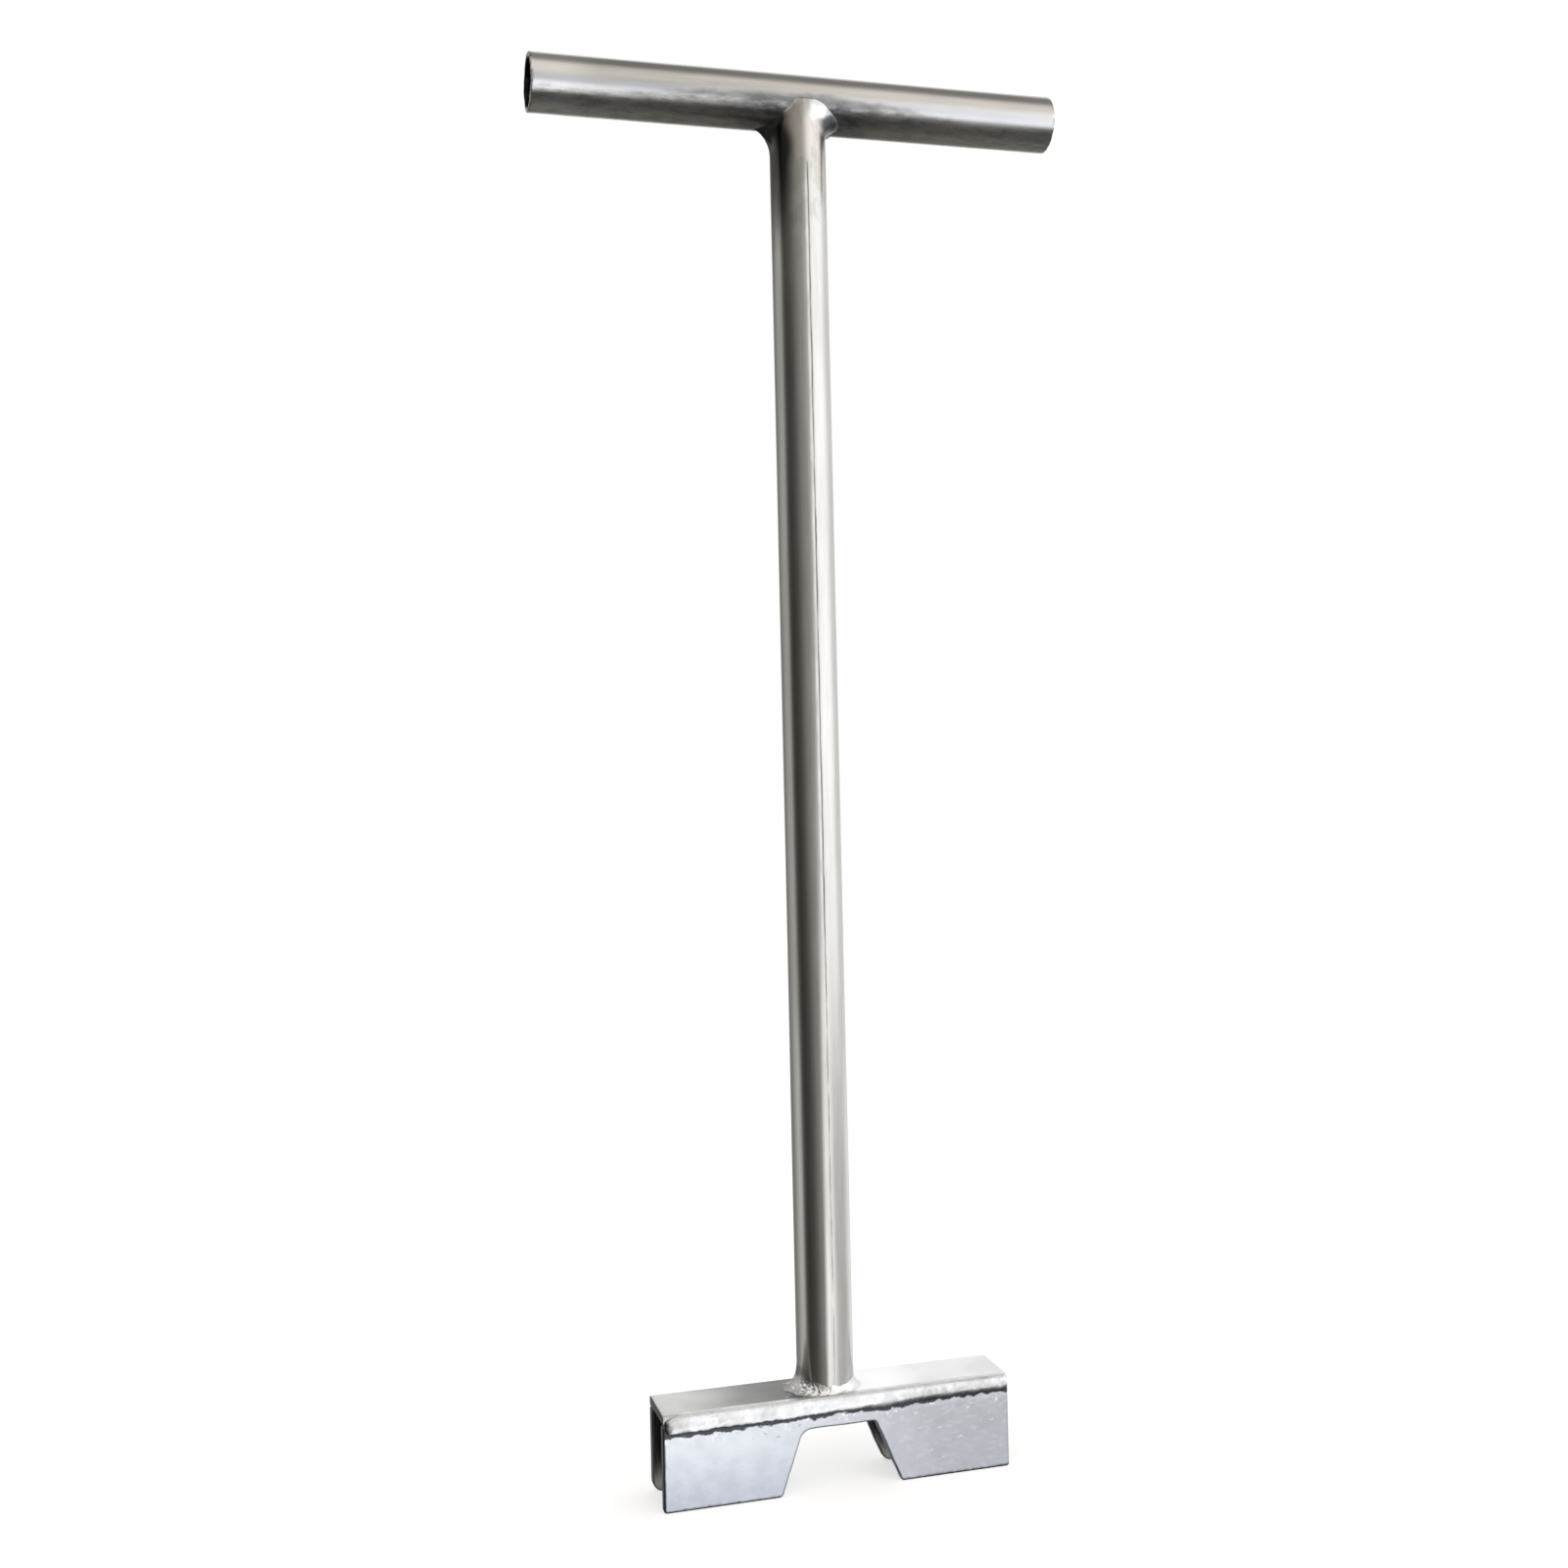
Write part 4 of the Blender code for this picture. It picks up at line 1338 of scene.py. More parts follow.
class NodeSheet:
    """Lays out the shader nodes of one material or world."""

    place: Value
    x: Value
    y: Value
    z: Value

    def __init__(self, tree: bpy.types.NodeTree) -> None:
        """Start from an empty tree."""
        self.tree = tree
        tree.nodes.clear()

    def add(
        self, kind: str, inputs: dict | None = None, output: str | int = 0, **settings: object
    ) -> Value:
        """Add a node.

        Args:
            kind: The node's type name without the ShaderNode prefix.
            inputs: Its sockets, by name or number, each with a Value, a number or a colour.
            output: The socket that gives the node's result.
            **settings: The node's own properties.

        Returns:
            The node's result.
        """
        node = self.tree.nodes.new("ShaderNode" + kind)
        for key, value in settings.items():
            setattr(node, key, value)
        for key, value in (inputs or {}).items():
            self.feed(node.inputs[key], value)
        return Value(self, node.outputs[output])

    def feed(self, socket: bpy.types.NodeSocket, value: object) -> None:
        """Link a Value to a socket, or set a number or a colour on it.

        Args:
            socket: The socket to fill.
            value: What it gets; a colour may have three or four parts.
        """
        if isinstance(value, Value):
            self.tree.links.new(value.socket, socket)
        elif socket.type == "RGBA" and len(value) == 3:
            socket.default_value = (*value, 1.0)
        else:
            socket.default_value = value

    def send(self, kind: str, shader: Value) -> None:
        """Link a shader to the surface of the material's or the world's output."""
        self.feed(self.tree.nodes.new("ShaderNode" + kind).inputs["Surface"], shader)

    def read(self, coordinates: str, scale: float) -> None:
        """Read the place to be shaded, and its X, Y and Z.

        Args:
            coordinates: Which of the texture coordinates give it.
            scale: What they are multiplied by.
        """
        self.place = self.vector("MULTIPLY", self.add("TexCoord", output=coordinates), (scale,) * 3)
        parts = self.add("SeparateXYZ", {0: self.place}).socket.node.outputs
        self.x, self.y, self.z = (Value(self, part) for part in parts)

    def maths(self, operation: str, *values: Value | float, clamp: bool = False) -> Value:
        """The result of a Math node on numbers."""
        return self.add("Math", dict(enumerate(values)), operation=operation, use_clamp=clamp)

    def vector(self, operation: str, *values: Value | Triple, output: str | int = 0) -> Value:
        """The result of a Vector Math node on vectors."""
        return self.add("VectorMath", dict(enumerate(values)), output, operation=operation)

    def mix(
        self, share: Value | float, first: Value | Triple, second: Value | Triple, **settings: str
    ) -> Value:
        """Two colours mixed by a share from 0 to 1."""
        return self.add("Mix", {0: share, 6: first, 7: second}, 2, data_type="RGBA", **settings)

    def coats(self, base: Value, layers: Iterable[tuple[Value, Value | Triple]]) -> Value:
        """A colour with others laid over it.

        Args:
            base: The colour underneath.
            layers: The share and the colour of each coat, the lowest first.

        Returns:
            The colour on top.
        """
        for share, paint in layers:
            base = self.mix(share, base, paint)
        return base

    def noise(self, cells: Triple | float, detail: float = 3.0, roughness: float = 0.55) -> Value:
        """Noise between 0 and 1 over the place to be shaded.

        Args:
            cells: Cells to the unit of length, or those along X, Y and Z.
            detail: How many finer noises are added.
            roughness: How strong each is beside the one before.

        Returns:
            The noise.
        """
        cells = cells if isinstance(cells, tuple) else (cells,) * 3
        inputs = {"Vector": self.vector("MULTIPLY", self.place, cells), "Scale": 1.0}
        return self.add("TexNoise", {**inputs, "Detail": detail, "Roughness": roughness})

    def distance(self, centre: Triple, squeeze: Triple = (1.0, 1.0, 1.0)) -> Value:
        """How far the place is from centre, with each axis multiplied by squeeze."""
        off = self.vector("MULTIPLY", self.vector("SUBTRACT", self.place, centre), squeeze)
        return self.vector("LENGTH", off, output="Value")


# Finishes


@dataclass(frozen=True)
class SteelFinish:
    """A bare steel surface: its tints, its polish and the grain left by its making.

    Grain and blotch are given in cells to the millimetre along X, Y and Z.
    """

    name: str
    light: Triple
    dark: Triple
    polish: Pair
    grain: Triple = (0.4, 0.4, 0.4)
    blotch: Triple = (0.09, 0.09, 0.09)
    grain_height: float = 0.1
    blotch_height: float = 0.0
    # On some pieces the residue colour is painted shade, and the scoured colour a painted highlight
    residue: Triple = (0.035, 0.040, 0.050)
    scoured: Triple = (0.95, 0.96, 0.98)
    most_residue: float = 0.94
    relief_unit: float = 0.1

    def tint(self, sheet: NodeSheet) -> Value:
        """The colour at a place: light and dark tints mixed by blotches and grain.

        Args:
            sheet: The material's nodes.

        Returns:
            The colour.
        """
        blotch = sheet.noise(self.blotch, 4.0).step(0.32, 0.68)
        grain = sheet.noise(self.grain, 2.0).step(0.3, 0.7)
        return sheet.mix(grain * 0.35 + blotch * 0.65, self.dark, self.light)

    def gloss(self, sheet: NodeSheet) -> Value:
        """The roughness at a place, between the two values of polish."""
        coarse = tuple(0.6 * cells for cells in self.blotch)
        return sheet.noise(coarse, 5.0).step(0.3, 0.7, *self.polish)

    def relief(self, sheet: NodeSheet) -> Value:
        """The height of the surface at a place, in relief units."""
        grain = sheet.noise(self.grain, 3.0) * self.grain_height
        return sheet.noise(self.blotch, 2.0) * self.blotch_height + grain

    @cache
    def material(self) -> bpy.types.Material:
        """The finish as a node material, made once however many pieces wear it.

        The tint turns to scoured or to sooty steel as the points of the piece say; on some
        pieces the same coats are painted highlights and painted shade.

        Returns:
            The material.
        """
        material = bpy.data.materials.new(self.name)
        material.use_nodes = True
        sheet = NodeSheet(material.node_tree)
        sheet.read("Object", 1 / MM)
        soot = sheet.add("Attribute", output="Fac", attribute_name=SOOT_AND_PAINTED_LIGHT)
        bright = sheet.maths("MULTIPLY", soot, -1.0, clamp=True)
        residue_and_shade = sheet.maths("MULTIPLY", soot, self.most_residue, clamp=True)
        bump = {"Height": self.relief(sheet), "Distance": self.relief_unit * MM, "Strength": 1.0}
        inputs = {
            "Base Color": sheet.coats(self.tint(sheet), [(bright, self.scoured), (residue_and_shade, self.residue)]),
            "Metallic": 1.0,
            "Roughness": self.gloss(sheet),
            "Normal": sheet.add("Bump", bump),
        }
        sheet.send("OutputMaterial", sheet.add("BsdfPrincipled", inputs))
        material.diffuse_color = (*self.light, 1.0)
        return material


@dataclass(frozen=True)
class GripSteel(SteelFinish):
    """Drawn tube with soot and straw stains that thin out away from the joint, and painted reflections."""

    right_steel: Triple = (0.66, 0.645, 0.63)
    end_steel: Triple = (0.70, 0.69, 0.67)
    reflected_blue: Triple = (0.52, 0.55, 0.60)
    brown: Triple = (0.26, 0.235, 0.20)
    reflected_dark: Triple = (0.09, 0.088, 0.082)
    grime: Triple = (0.13, 0.115, 0.095)
    soot: Triple = (0.05, 0.058, 0.075)
    speck: Triple = (0.70, 0.71, 0.73)
    fleck: Triple = (0.60, 0.60, 0.53)
    olive: Triple = (0.52, 0.52, 0.46)
    rust: Triple = (0.13, 0.085, 0.055)
    bore: Triple = (0.022, 0.021, 0.019)

    def tint(self, sheet: NodeSheet) -> Value:
        """Bare steel under brown mottles, a painted dark reflection band with a painted bluish
        reflection above it, grime, and soot close to the joint.

        The underside is olive on the right, the mouths' rims rust, and the bore is dark.

        Args:
            sheet: The material's nodes.

        Returns:
            The colour.
        """
        across, height = sheet.x, sheet.z
        along = abs(across)
        wavy = height + sheet.noise((0.09, 0.13, 0.13)) * 4.0 + across.step(12.0, 35.0, 1.0, 2.2)
        mottle = sheet.noise((0.11, 0.26, 0.26), 4.0, 0.5).step(0.38, 0.66)
        # Painted reflection: a bluish band above the dark band
        cool = height.step(535.4, 533.6) * height.step(528.5, 530.5)
        brown = (mottle * 0.26 + 0.42) * along.step(75.0, 18.0) * wavy.step(538.5, 535.0)
        lifted = wavy + along.step(65.0, 20.0) * -3.5
        # Painted reflection: a dark band just below the grip's axis, along most of its length
        reflected_dark = lifted.step(535.8, 533.4) * height.step(528.2, 530.6) * along.step(80.0, 58.0)
        grime = sheet.noise((0.13, 0.42, 0.42), 5.0, 0.65).step(0.44, 0.64) * wavy.step(534.5, 532.5)
        soot = sheet.noise((0.15, 0.24, 0.24), 4.0, 0.6).step(0.34, 0.66) * 0.40 + 0.34
        close = along.step(36.0, 16.0) * wavy.step(538.0, 533.5)
        speck = sheet.noise(0.8, 2.0).step(0.60, 0.70) * along.step(19.0, 15.0) * wavy.step(535.5, 533.5)
        fleck = sheet.noise((0.23, 0.70, 0.70), 4.0, 0.6).step(0.47, 0.59) * height.step(532.5, 531.0)
        under = height.step(528.8, 526.8) * across.step(0.0, 70.0, 0.08, 0.35)
        rust = sheet.noise(0.5, 4.0).step(0.46, 0.62) * along.step(104.0, 104.7)
        bore = sheet.distance((0.0, 0.0, GRIP_AXIS_Z), (0.0, 1.0, 1.0)).step(9.8, 9.1)
        layers = [
            (across.step(-50.0, 60.0, 0.0, 0.5), self.right_steel),
            (across.step(-78.0, -96.0, 0.0, 0.6), self.end_steel),
            (cool * 0.5, self.reflected_blue),
            (brown, self.brown),
            (reflected_dark * (mottle * 0.26 + 0.36), self.reflected_dark),
            (grime * 0.42, self.grime),
            (soot * close, self.soot),
            (speck * 0.18, self.speck),
            (fleck * 0.18, self.fleck),
            (under, self.olive),
            (rust, self.rust),
            (bore, self.bore),
        ]
        return sheet.coats(super().tint(sheet), layers)


@dataclass(frozen=True)
class ShaftSteel(SteelFinish):
    """Drawn tube, darkened by heat for a hand's width below the joint on its left."""

    straw: Triple = (0.47, 0.42, 0.375)
    olive: Triple = (0.24, 0.245, 0.21)
    burnt: Triple = (0.045, 0.046, 0.044)

    def tint(self, sheet: NodeSheet) -> Value:
        """Bare steel, straw and olive in front near the top, and burnt at both rims.

        Args:
            sheet: The material's nodes.

        Returns:
            The colour.
        """
        ragged = sheet.z + sheet.noise((0.09, 0.09, 0.03)) * 30.0
        lean = sheet.x + sheet.z.step(505.0, 515.0) * -1.4 + sheet.z.step(516.0, 527.0) * 2.6
        left_rim = ragged.step(478.0, 526.0) * lean.step(-4.2, -8.4)
        right_rim = sheet.x.step(7.8, 9.8) * ragged.step(495.0, 540.0)
        patch = sheet.noise((0.11, 0.11, 0.07), 4.0, 0.6).step(0.50, 0.60, 0.0, 0.30)
        layers = [
            (ragged.step(500.0, 540.0) * 0.55, self.straw),
            (patch * sheet.z.step(455.0, 500.0), self.olive),
            (left_rim * 0.93 | right_rim * 0.75, self.burnt),
        ]
        return sheet.coats(super().tint(sheet), layers)


@dataclass(frozen=True)
class GroundWeld(ShaftSteel):
    """Weld metal ground flush with the shaft in front, painted shade beside it, and dark behind it."""

    # Painted shade in the crotches, and the rough weld metal at the back
    shaded_rough_metal: Triple = (0.085, 0.088, 0.09)
    mottle: Triple = (0.34, 0.335, 0.33)
    rough_gloss: Triple = (0.30, 0.30, 0.30)

    def tint(self, sheet: NodeSheet) -> Value:
        """The shaft's own steel in front, painted shade in both crotches, and dark at the back.

        Args:
            sheet: The material's nodes.

        Returns:
            The colour.
        """
        share = sheet.noise(0.33, 3.0, 0.5).step(0.40, 0.66, 0.0, 0.18)
        # Painted shade in both crotches, and dark rough metal at the back
        dark = self.sides(sheet) | sheet.y.step(-7.0, -5.0)
        return sheet.mix(dark, super().tint(sheet), sheet.mix(share, self.shaded_rough_metal, self.mottle))

    def gloss(self, sheet: NodeSheet) -> Value:
        """Polished in front and rough where it is dark."""
        return sheet.mix(self.sides(sheet), super().gloss(sheet), self.rough_gloss)

    def sides(self, sheet: NodeSheet) -> Value:
        """How far a place is out on the left, or low down on the right.

        Args:
            sheet: The material's nodes.

        Returns:
            A share from 0 to 1.
        """
        across = sheet.x + sheet.noise(0.26, 4.0) * 4.0 + -2.0
        left = (across + sheet.z.step(519.0, 534.5) * 3.6).step(-5.2, -8.0)
        right = across.step(5.2, 8.6) * (sheet.z + sheet.x * -0.35).step(524.8, 523.3)
        return left | right


@dataclass(frozen=True)
class CapSteel(SteelFinish):
    """Flat bar, with painted shade on the left of the shaft and a painted highlight on its right."""

    painted_shaft_shade: Triple = (0.17, 0.17, 0.16)
    pale: Triple = (0.86, 0.86, 0.86)
    pale_end: Triple = (0.74, 0.74, 0.735)

    def tint(self, sheet: NodeSheet) -> Value:
        """Pale at the left end, dark up to the shaft, palest beyond it.

        Args:
            sheet: The material's nodes.

        Returns:
            The colour.
        """
        ragged = sheet.x + sheet.noise((0.04, 0.09, 0.09)) * 8.0
        # Painted shade: the shaft's shade and reflection darken the bar on its left
        dark = ragged.step(-58.0, -16.0) * ragged.step(12.0, -2.0)
        # Painted highlight: the bar is palest on the right of the shaft
        pale = sheet.mix(sheet.x.step(20.0, 45.0), self.pale, self.pale_end)
        layers = [(dark, self.painted_shaft_shade), (ragged.step(2.0, 16.0), pale)]
        return sheet.coats(super().tint(sheet), layers)


@dataclass(frozen=True)
class FootSteel(SteelFinish):
    """Weld metal at the shaft's foot, with painted shade where it climbs the shaft's left side."""

    painted_shade: Triple = (0.30, 0.30, 0.29)

    def tint(self, sheet: NodeSheet) -> Value:
        """Bright metal, with painted shade above it on the left like the shaft's shaded side.

        Args:
            sheet: The material's nodes.

        Returns:
            The colour.
        """
        ragged = sheet.z + sheet.noise(0.35, 4.0) * 4.0
        # Painted shade on the left, where the weld climbs the shaft
        shaded_left = ragged.step(41.2, 44.2) * sheet.x.step(4.0, -4.0)
        return sheet.mix(shaded_left, super().tint(sheet), self.painted_shade)


@dataclass(frozen=True)
class PlateSteel(SteelFinish):
    """Cut plate, with mill smears and painted shading, and olive scale and painted shade on its inner face.
    """

    left_painted_light: Triple = (0.76, 0.79, 0.84)
    right_painted_shade: Triple = (0.455, 0.465, 0.495)
    foot_painted_shade: Triple = (0.54, 0.57, 0.65)
    smear: Triple = (0.86, 0.88, 0.92)
    inner_scale_and_shade: Triple = (0.44, 0.425, 0.37)
    inner_depths: Pair = (9.2, 8.8)

    def tint(self, sheet: NodeSheet) -> Value:
        """Paler and bluer to the left, greyer towards the right, bluest at the left feet.

        All three are painted light and shade, and towards the feet the plate is also darker.

        Args:
            sheet: The material's nodes.

        Returns:
            The colour.
        """
        # Painted shade: lighter to the left, darker towards the right and towards the feet
        right = sheet.x.step(-45.0, 55.0)
        low = sheet.z.step(27.0, 0.0) * right.step(1.0, 0.2, 0.15, 1.0)
        shade = sheet.mix(low, sheet.mix(right, self.left_painted_light, self.right_painted_shade), self.foot_painted_shade)
        toned = sheet.mix(1.0, super().tint(sheet), shade, blend_type="MULTIPLY")
        smear = sheet.noise((0.30, 0.60, 0.80), 4.0, 0.6).step(0.50, 0.68) * 0.14
        # Olive scale and painted shade on the inner face, in the channel between the plates
        inside = abs(sheet.y).step(*self.inner_depths)
        return sheet.coats(toned, [(smear, self.smear), (inside, self.inner_scale_and_shade)])


@dataclass(frozen=True)
class Finishes:
    """Every finish that the key wears."""

    grip_tube: SteelFinish = GripSteel(
        "grip_tube_steel",
        light=(0.54, 0.525, 0.50),
        dark=(0.44, 0.43, 0.41),
        polish=(0.20, 0.30),
        grain=(0.06, 1.4, 1.4),
        blotch=(0.03, 0.16, 0.16),
        grain_height=0.05,
        blotch_height=0.08,
    )
    shaft_tube: SteelFinish = ShaftSteel(
        "shaft_tube_steel",
        light=(0.53, 0.52, 0.50),
        dark=(0.45, 0.44, 0.42),
        polish=(0.15, 0.22),
        grain=(1.4, 1.4, 0.06),
        blotch=(0.16, 0.16, 0.024),
        grain_height=0.04,
        blotch_height=0.05,
    )
    joint_weld: SteelFinish = GroundWeld(
        "joint_weld_steel",
        light=(0.53, 0.52, 0.50),
        dark=(0.45, 0.44, 0.42),
        polish=(0.15, 0.24),
        grain=(0.9, 0.9, 0.9),
        blotch=(0.22, 0.22, 0.22),
        grain_height=0.06,
        blotch_height=0.10,
    )
    bead_weld: SteelFinish = SteelFinish(
        "bead_weld_steel",
        light=(0.70, 0.70, 0.70),
        dark=(0.54, 0.545, 0.56),
        polish=(0.34, 0.46),
        grain=(0.9, 0.9, 0.9),
        blotch=(0.3, 0.3, 0.3),
        grain_height=0.12,
        blotch_height=0.20,
    )
    foot_weld: SteelFinish = FootSteel(
        "foot_weld_steel",
        light=(0.92, 0.92, 0.91),
        dark=(0.70, 0.71, 0.72),
        polish=(0.24, 0.36),
        grain=(0.9, 0.9, 0.9),
        blotch=(0.42, 0.42, 0.42),
        grain_height=0.20,
        blotch_height=0.30,
    )
    spatter: SteelFinish = SteelFinish(
        "spatter_steel",
        light=(0.74, 0.75, 0.78),
        dark=(0.58, 0.60, 0.64),
        polish=(0.40, 0.50),
    )
    side_plate: SteelFinish = PlateSteel(
        "side_plate_steel",
        light=(1.0, 1.0, 1.0),
        dark=(0.965, 0.965, 0.965),
        polish=(0.38, 0.44),
        grain=(1.8, 0.9, 1.8),
        blotch=(0.26, 0.26, 0.26),
        grain_height=0.10,
        blotch_height=0.03,
    )
    top_plate: SteelFinish = CapSteel(
        "top_plate_steel",
        light=(0.62, 0.62, 0.61),
        dark=(0.56, 0.56, 0.55),
        polish=(0.34, 0.44),
        grain=(0.3, 1.5, 0.9),
        blotch=(0.08, 0.08, 0.08),
        grain_height=0.05,
        blotch_height=0.04,
    )


# Studio


@dataclass(frozen=True)
class PhotoCamera:
    """The camera solved from the photograph's outlines, its turns in degrees."""

    place: Triple = (-196.450, -666.366, 278.336)
    yaw: float = 16.257
    pitch: float = 0.557
    roll: float = -1.295
    lens: float = 40.93
    sensor: float = 36.0
    shift: Pair = (-0.01375, -0.02565)
    nearest: float = 10.0

    def aim(self) -> Matrix:
        """The camera's matrix: it looks along yaw and pitch, turned by roll about its axis.

        Returns:
            The matrix, in metres.
        """
        yaw, pitch, roll = (math.radians(a) for a in (self.yaw, self.pitch, self.roll))
        ahead = np.array([math.sin(yaw) * math.cos(pitch), math.cos(yaw) * math.cos(pitch), math.sin(pitch)])
        right = unit(np.cross(ahead, UP))
        up = np.cross(right, ahead)
        x_axis = math.cos(roll) * right + math.sin(roll) * up
        y_axis = math.cos(roll) * up - math.sin(roll) * right
        rows = np.stack([x_axis, y_axis, -ahead, np.array(self.place) * MM], axis=1)
        return Matrix([*rows.tolist(), [0, 0, 0, 1]])

    def build(self) -> None:
        """Put the camera into the scene."""
        data = bpy.data.cameras.new("photo_camera")
        data.sensor_width = self.sensor
        data.lens = self.lens
        data.shift_x, data.shift_y = self.shift
        data.clip_start = self.nearest * MM
        camera = bpy.data.objects.new("photo_camera", data)
        bpy.context.scene.collection.objects.link(camera)
        camera.matrix_world = self.aim()
        bpy.context.scene.camera = camera


@dataclass(frozen=True)
class RoomLight:
    """The light that comes from round the key, by compass turn from the camera.

    Turns are degrees to the right of the direction from the key to the camera, and each
    stop gives the turn and how bright the room is there: level with the key, and low down.
    """

    camera_turn: float = 16.3
    strength: float = 1.2
    ceiling_behind: Triple = (0.24, 0.235, 0.225)
    ceiling_ahead: Triple = (0.93, 0.895, 0.85)
    ground_behind: Triple = (0.18, 0.18, 0.17)
    ground_ahead: Triple = (0.10, 0.10, 0.10)
    pool: Triple = (1.55, 1.55, 1.55)
    pool_place: Pair = (20.0, -31.0)
    level: Profile = (
        (-180, 1.1), (-168, 0.8), (-150, 0.25), (-137, 0.27), (-119, 0.44), (-105, 0.52),
        (-93, 0.53), (-86, 0.42), (-78, 0.13), (-68, 0.06), (-55, 0.055), (-45, 0.075),
        (-36, 0.105), (-28, 0.155), (-20, 0.23), (-4, 0.35), (4, 0.40), (20, 0.56),
        (28, 0.84), (40, 1.30), (53, 1.65), (90, 1.65), (105, 1.3), (119, 1.0),
        (137, 0.9), (155, 0.8), (180, 1.1),
    )  # fmt: skip
    low: Profile = (
        (-180, 0.22), (-160, 0.22), (-150, 0.27), (-137, 0.25), (-119, 0.38), (-105, 0.60),
        (-93, 0.72), (-82, 0.62), (-74, 0.22), (-66, 0.08), (-53, 0.055), (-36, 0.08),
        (-28, 0.10), (-20, 0.16), (-4, 0.30), (8, 0.36), (16, 0.50), (22, 1.3), (26, 1.8),
        (33, 1.40), (46, 1.40), (54, 1.05), (62, 0.78), (90, 0.72), (105, 0.75), (119, 0.95),
        (137, 1.1), (160, 1.0), (168, 0.25), (180, 0.22),
    )  # fmt: skip

    def direction(self, turn: float, height: float) -> Triple:
        """The unit vector towards a turn and a height, both in degrees.

        Args:
            turn: Degrees to the right of the camera.
            height: Degrees above the horizon.

        Returns:
            The vector, as X, Y and Z.
        """
        compass = math.radians(turn - self.camera_turn)
        level = math.cos(math.radians(height))
        return (math.sin(compass) * level, -math.cos(compass) * level, math.sin(math.radians(height)))

    def ring(self, sheet: NodeSheet, turn: Value, stops: Profile) -> Value:
        """The walls all round, cool where they are brightest and warm where they are dim.

        Args:
            sheet: The world's nodes.
            turn: The share of a whole turn, 0.5 at the camera.
            stops: How bright the walls are at each turn.

        Returns:
            The colour.
        """
        colour = sheet.add("ValToRGB", {0: turn})
        stretch = colour.socket.node.color_ramp
        stretch.interpolation = "EASE"
        while len(stretch.elements) < len(stops):
            stretch.elements.new(0.5)
        for element, (degrees, bright) in zip(stretch.elements, stops):
            cool = min(max((bright - 0.3) / 0.9, 0.0), 1.0)
            tint = (0.985, 0.965 + 0.025 * cool, 0.91 + 0.10 * cool)
            element.position = degrees / 360 + 0.5
            element.color = (*[bright * part for part in tint], 1.0)
        return colour

    def room(self, sheet: NodeSheet) -> Value:
        """The room's colours: walls, a ceiling, the ground and a pool of light on it.

        The ceiling is bright in front and dim behind, where it also starts higher up.

        Args:
            sheet: The world's nodes, which have read the direction looked in.

        Returns:
            The colour.
        """
        ahead = sheet.vector("DOT_PRODUCT", sheet.place, self.direction(0.0, 0.0), output="Value")
        aside = sheet.vector("DOT_PRODUCT", sheet.place, self.direction(90.0, 0.0), output="Value")
        turn = sheet.maths("ARCTAN2", aside, ahead) * (1 / (2 * math.pi)) + 0.5
        height = sheet.maths("ARCSINE", sheet.z) * (180 / math.pi)
        rings = [self.ring(sheet, turn, stops) for stops in (self.level, self.low)]
        walls = sheet.mix(height.step(-4.0, -13.0), *rings)
        ceiling = sheet.mix(ahead.step(0.03, 0.40), self.ceiling_behind, self.ceiling_ahead)
        ground = sheet.mix(ahead.step(-0.5, 0.1), self.ground_behind, self.ground_ahead)
        high = height + ahead.step(0.1, -0.3) * -28.0
        pool = sheet.distance(self.direction(*self.pool_place), (1.0, 1.0, 0.4)).step(0.26, 0.09)
        layers = [
            (high.step(17.0, 33.0), ceiling),
            (height.step(-19.0, -31.0), ground),
            (pool, self.pool),
        ]
        return sheet.coats(walls, layers)

    def build(self) -> None:
        """Paint the room as a world, white to the camera itself."""
        world = bpy.data.worlds.new("room")
        bpy.context.scene.world = world
        world.use_nodes = True
        sheet = NodeSheet(world.node_tree)
        sheet.read("Generated", 1.0)
        seen = sheet.add("LightPath", output="Is Camera Ray")
        colour = sheet.mix(seen, self.room(sheet), (1.0, 1.0, 1.0))
        strength = seen.step(0.0, 1.0, self.strength, 1.0)
        sheet.send("OutputWorld", sheet.add("Background", {"Color": colour, "Strength": strength}))


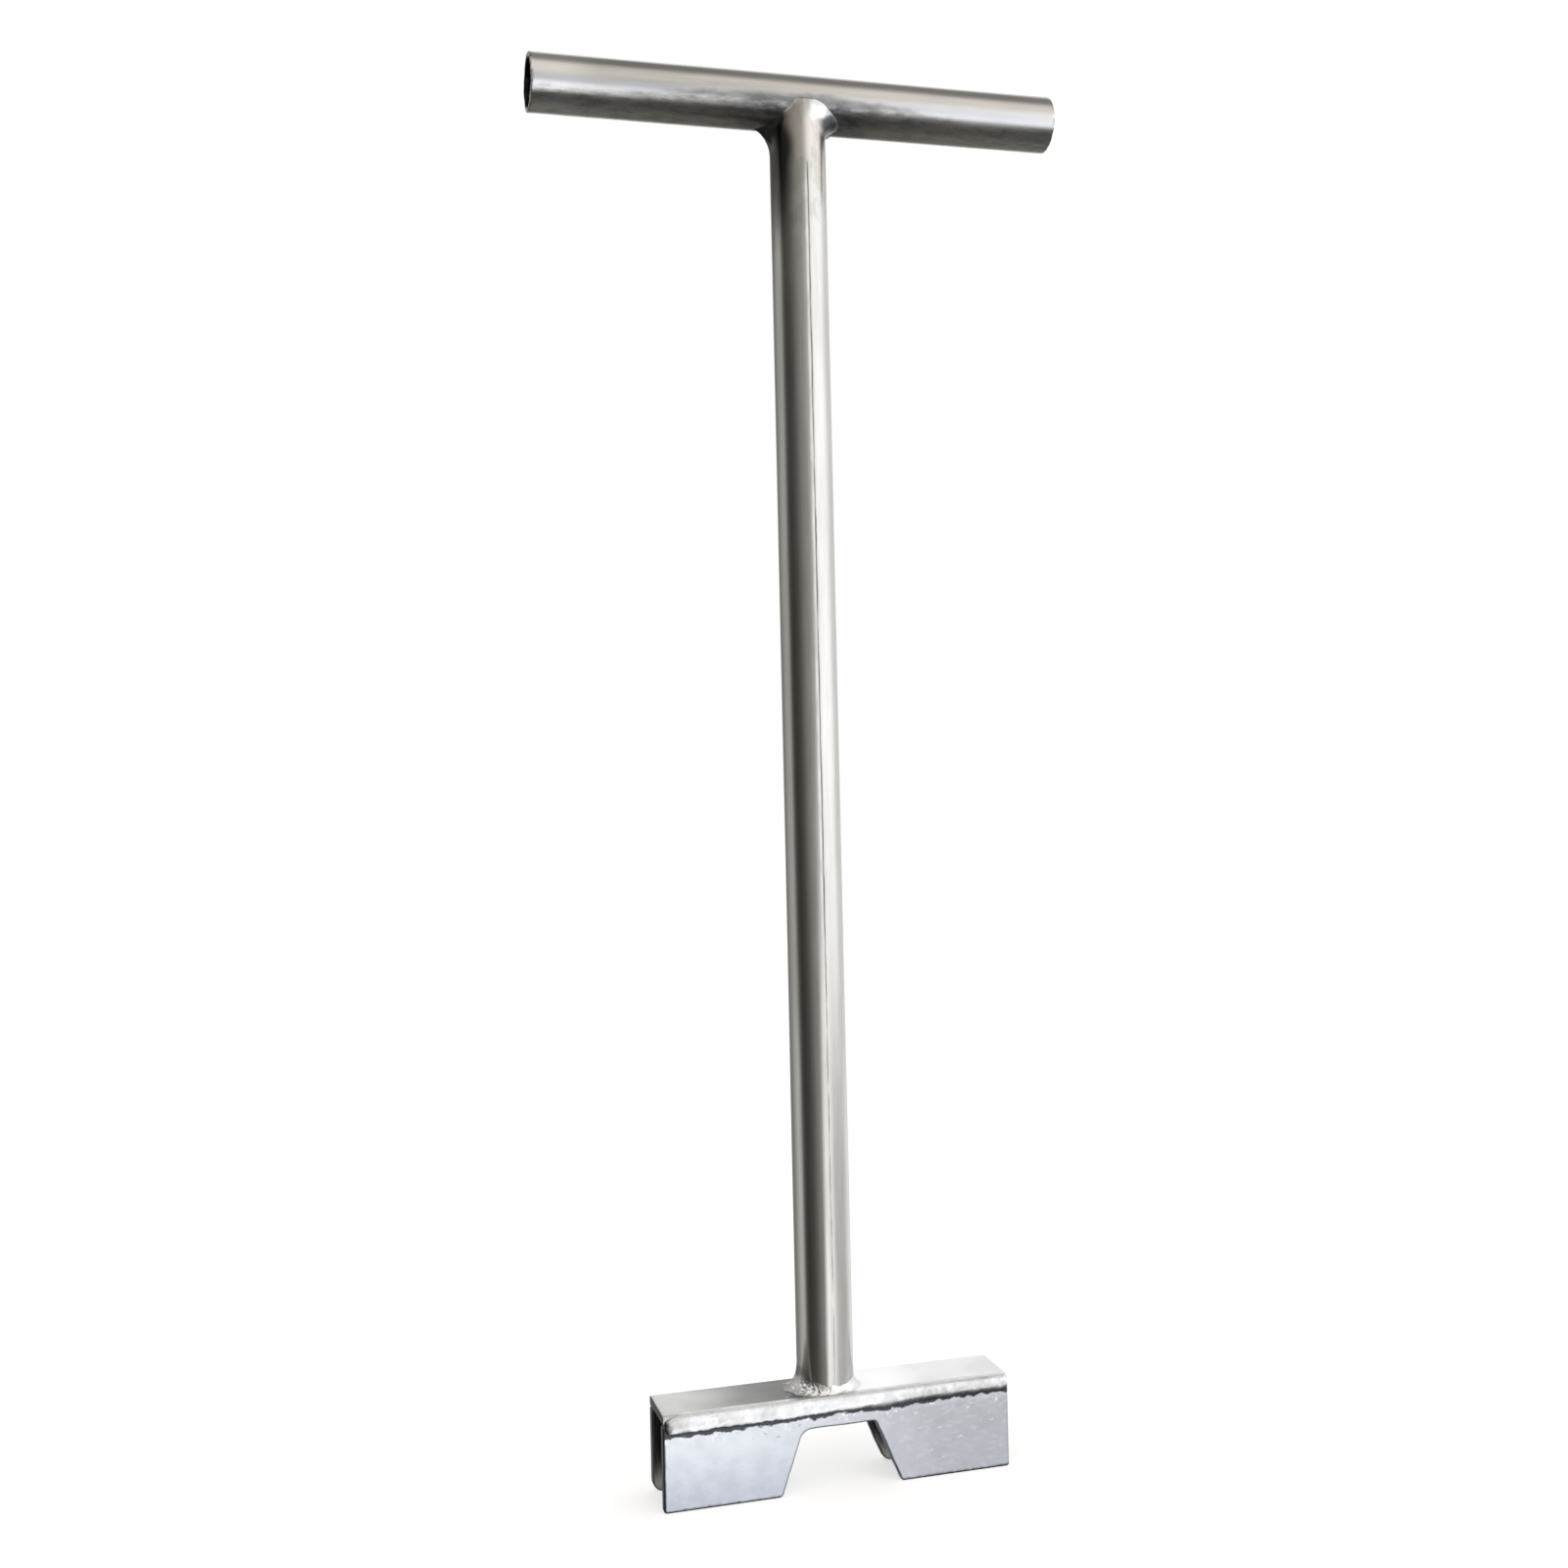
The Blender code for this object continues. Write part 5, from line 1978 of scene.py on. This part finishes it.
@dataclass(frozen=True)
class Floor:
    """A pale floor under the key, which keeps the key's shadow."""

    half_size: float = 6000.0
    shade: Triple = (0.62, 0.62, 0.62)
    glow: float = 0.62

    def build(self) -> None:
        """Lay the floor at the height of the key's feet."""
        corners = np.array([(-1, -1, 0), (1, -1, 0), (1, 1, 0), (-1, 1, 0)]) * self.half_size * MM
        mesh = bpy.data.meshes.new("floor")
        mesh.from_pydata(corners.tolist(), [], [(0, 1, 2, 3)])
        material = bpy.data.materials.new("pale_floor")
        material.use_nodes = True
        sheet = NodeSheet(material.node_tree)
        matt = sheet.add("BsdfDiffuse", {"Color": self.shade})
        seen = sheet.add("LightPath", output="Is Camera Ray")
        glow = sheet.add("Emission", {"Color": (1.0, 1.0, 1.0), "Strength": seen * self.glow})
        sheet.send("OutputMaterial", sheet.add("AddShader", {0: matt, 1: glow}))
        mesh.materials.append(material)
        floor = bpy.data.objects.new("floor", mesh)
        bpy.context.scene.collection.objects.link(floor)
        floor.visible_glossy = False


# The key


class ValveKey:
    """The whole key, made of its welded pieces."""

    def __init__(self, finishes: Finishes) -> None:
        """Match each piece with the finish that it wears.

        Args:
            finishes: The finishes to choose from.
        """
        front_bead = SeamBead(Side.FRONT)
        rear_bead = SeamBead(
            Side.REAR, start=-66.8, end=70.0, top_z=35.5, toe_z=30.9, curl=0.0, rise=0.0, seed=47
        )
        front_plate = SidePlate(front_bead, foot_radii=(1.2, 2.2, 1.4, 1.0))
        rear_plate = SidePlate(rear_bead, foot_radii=(4.5, 4.5, 4.5, 4.5))
        foot = FootWeld()
        self.pieces: list[tuple[Piece, SteelFinish]] = [
            (Grip(), finishes.grip_tube),
            (Shaft(), finishes.shaft_tube),
            (JointWeld(), finishes.joint_weld),
            (foot, finishes.foot_weld),
            (front_plate, finishes.side_plate),
            (rear_plate, finishes.side_plate),
            (TopPlate(), finishes.top_plate),
            (front_bead, finishes.bead_weld),
            (rear_bead, finishes.bead_weld),
            (Spatter(front_plate, foot), finishes.spatter),
        ]

    def build(self) -> None:
        """Build every piece in its finish, and report it."""
        for piece, finish in self.pieces:
            made = piece.build(finish.material())
            stands_for = piece.node or "nothing in the CAD model"
            LOG.info("%s: %d faces, for %s", piece.name, len(made.data.polygons), stands_for)


def main() -> None:
    """Build the studio and the key, and keep the imported CAD parts in the scene."""
    logging.basicConfig(level=logging.INFO, format="%(name)s: %(message)s")
    bpy.context.scene.view_settings.view_transform = "Standard"
    PhotoCamera().build()
    RoomLight().build()
    Floor().build()
    ValveKey(Finishes()).build()


if __name__ == "__main__":
    main()
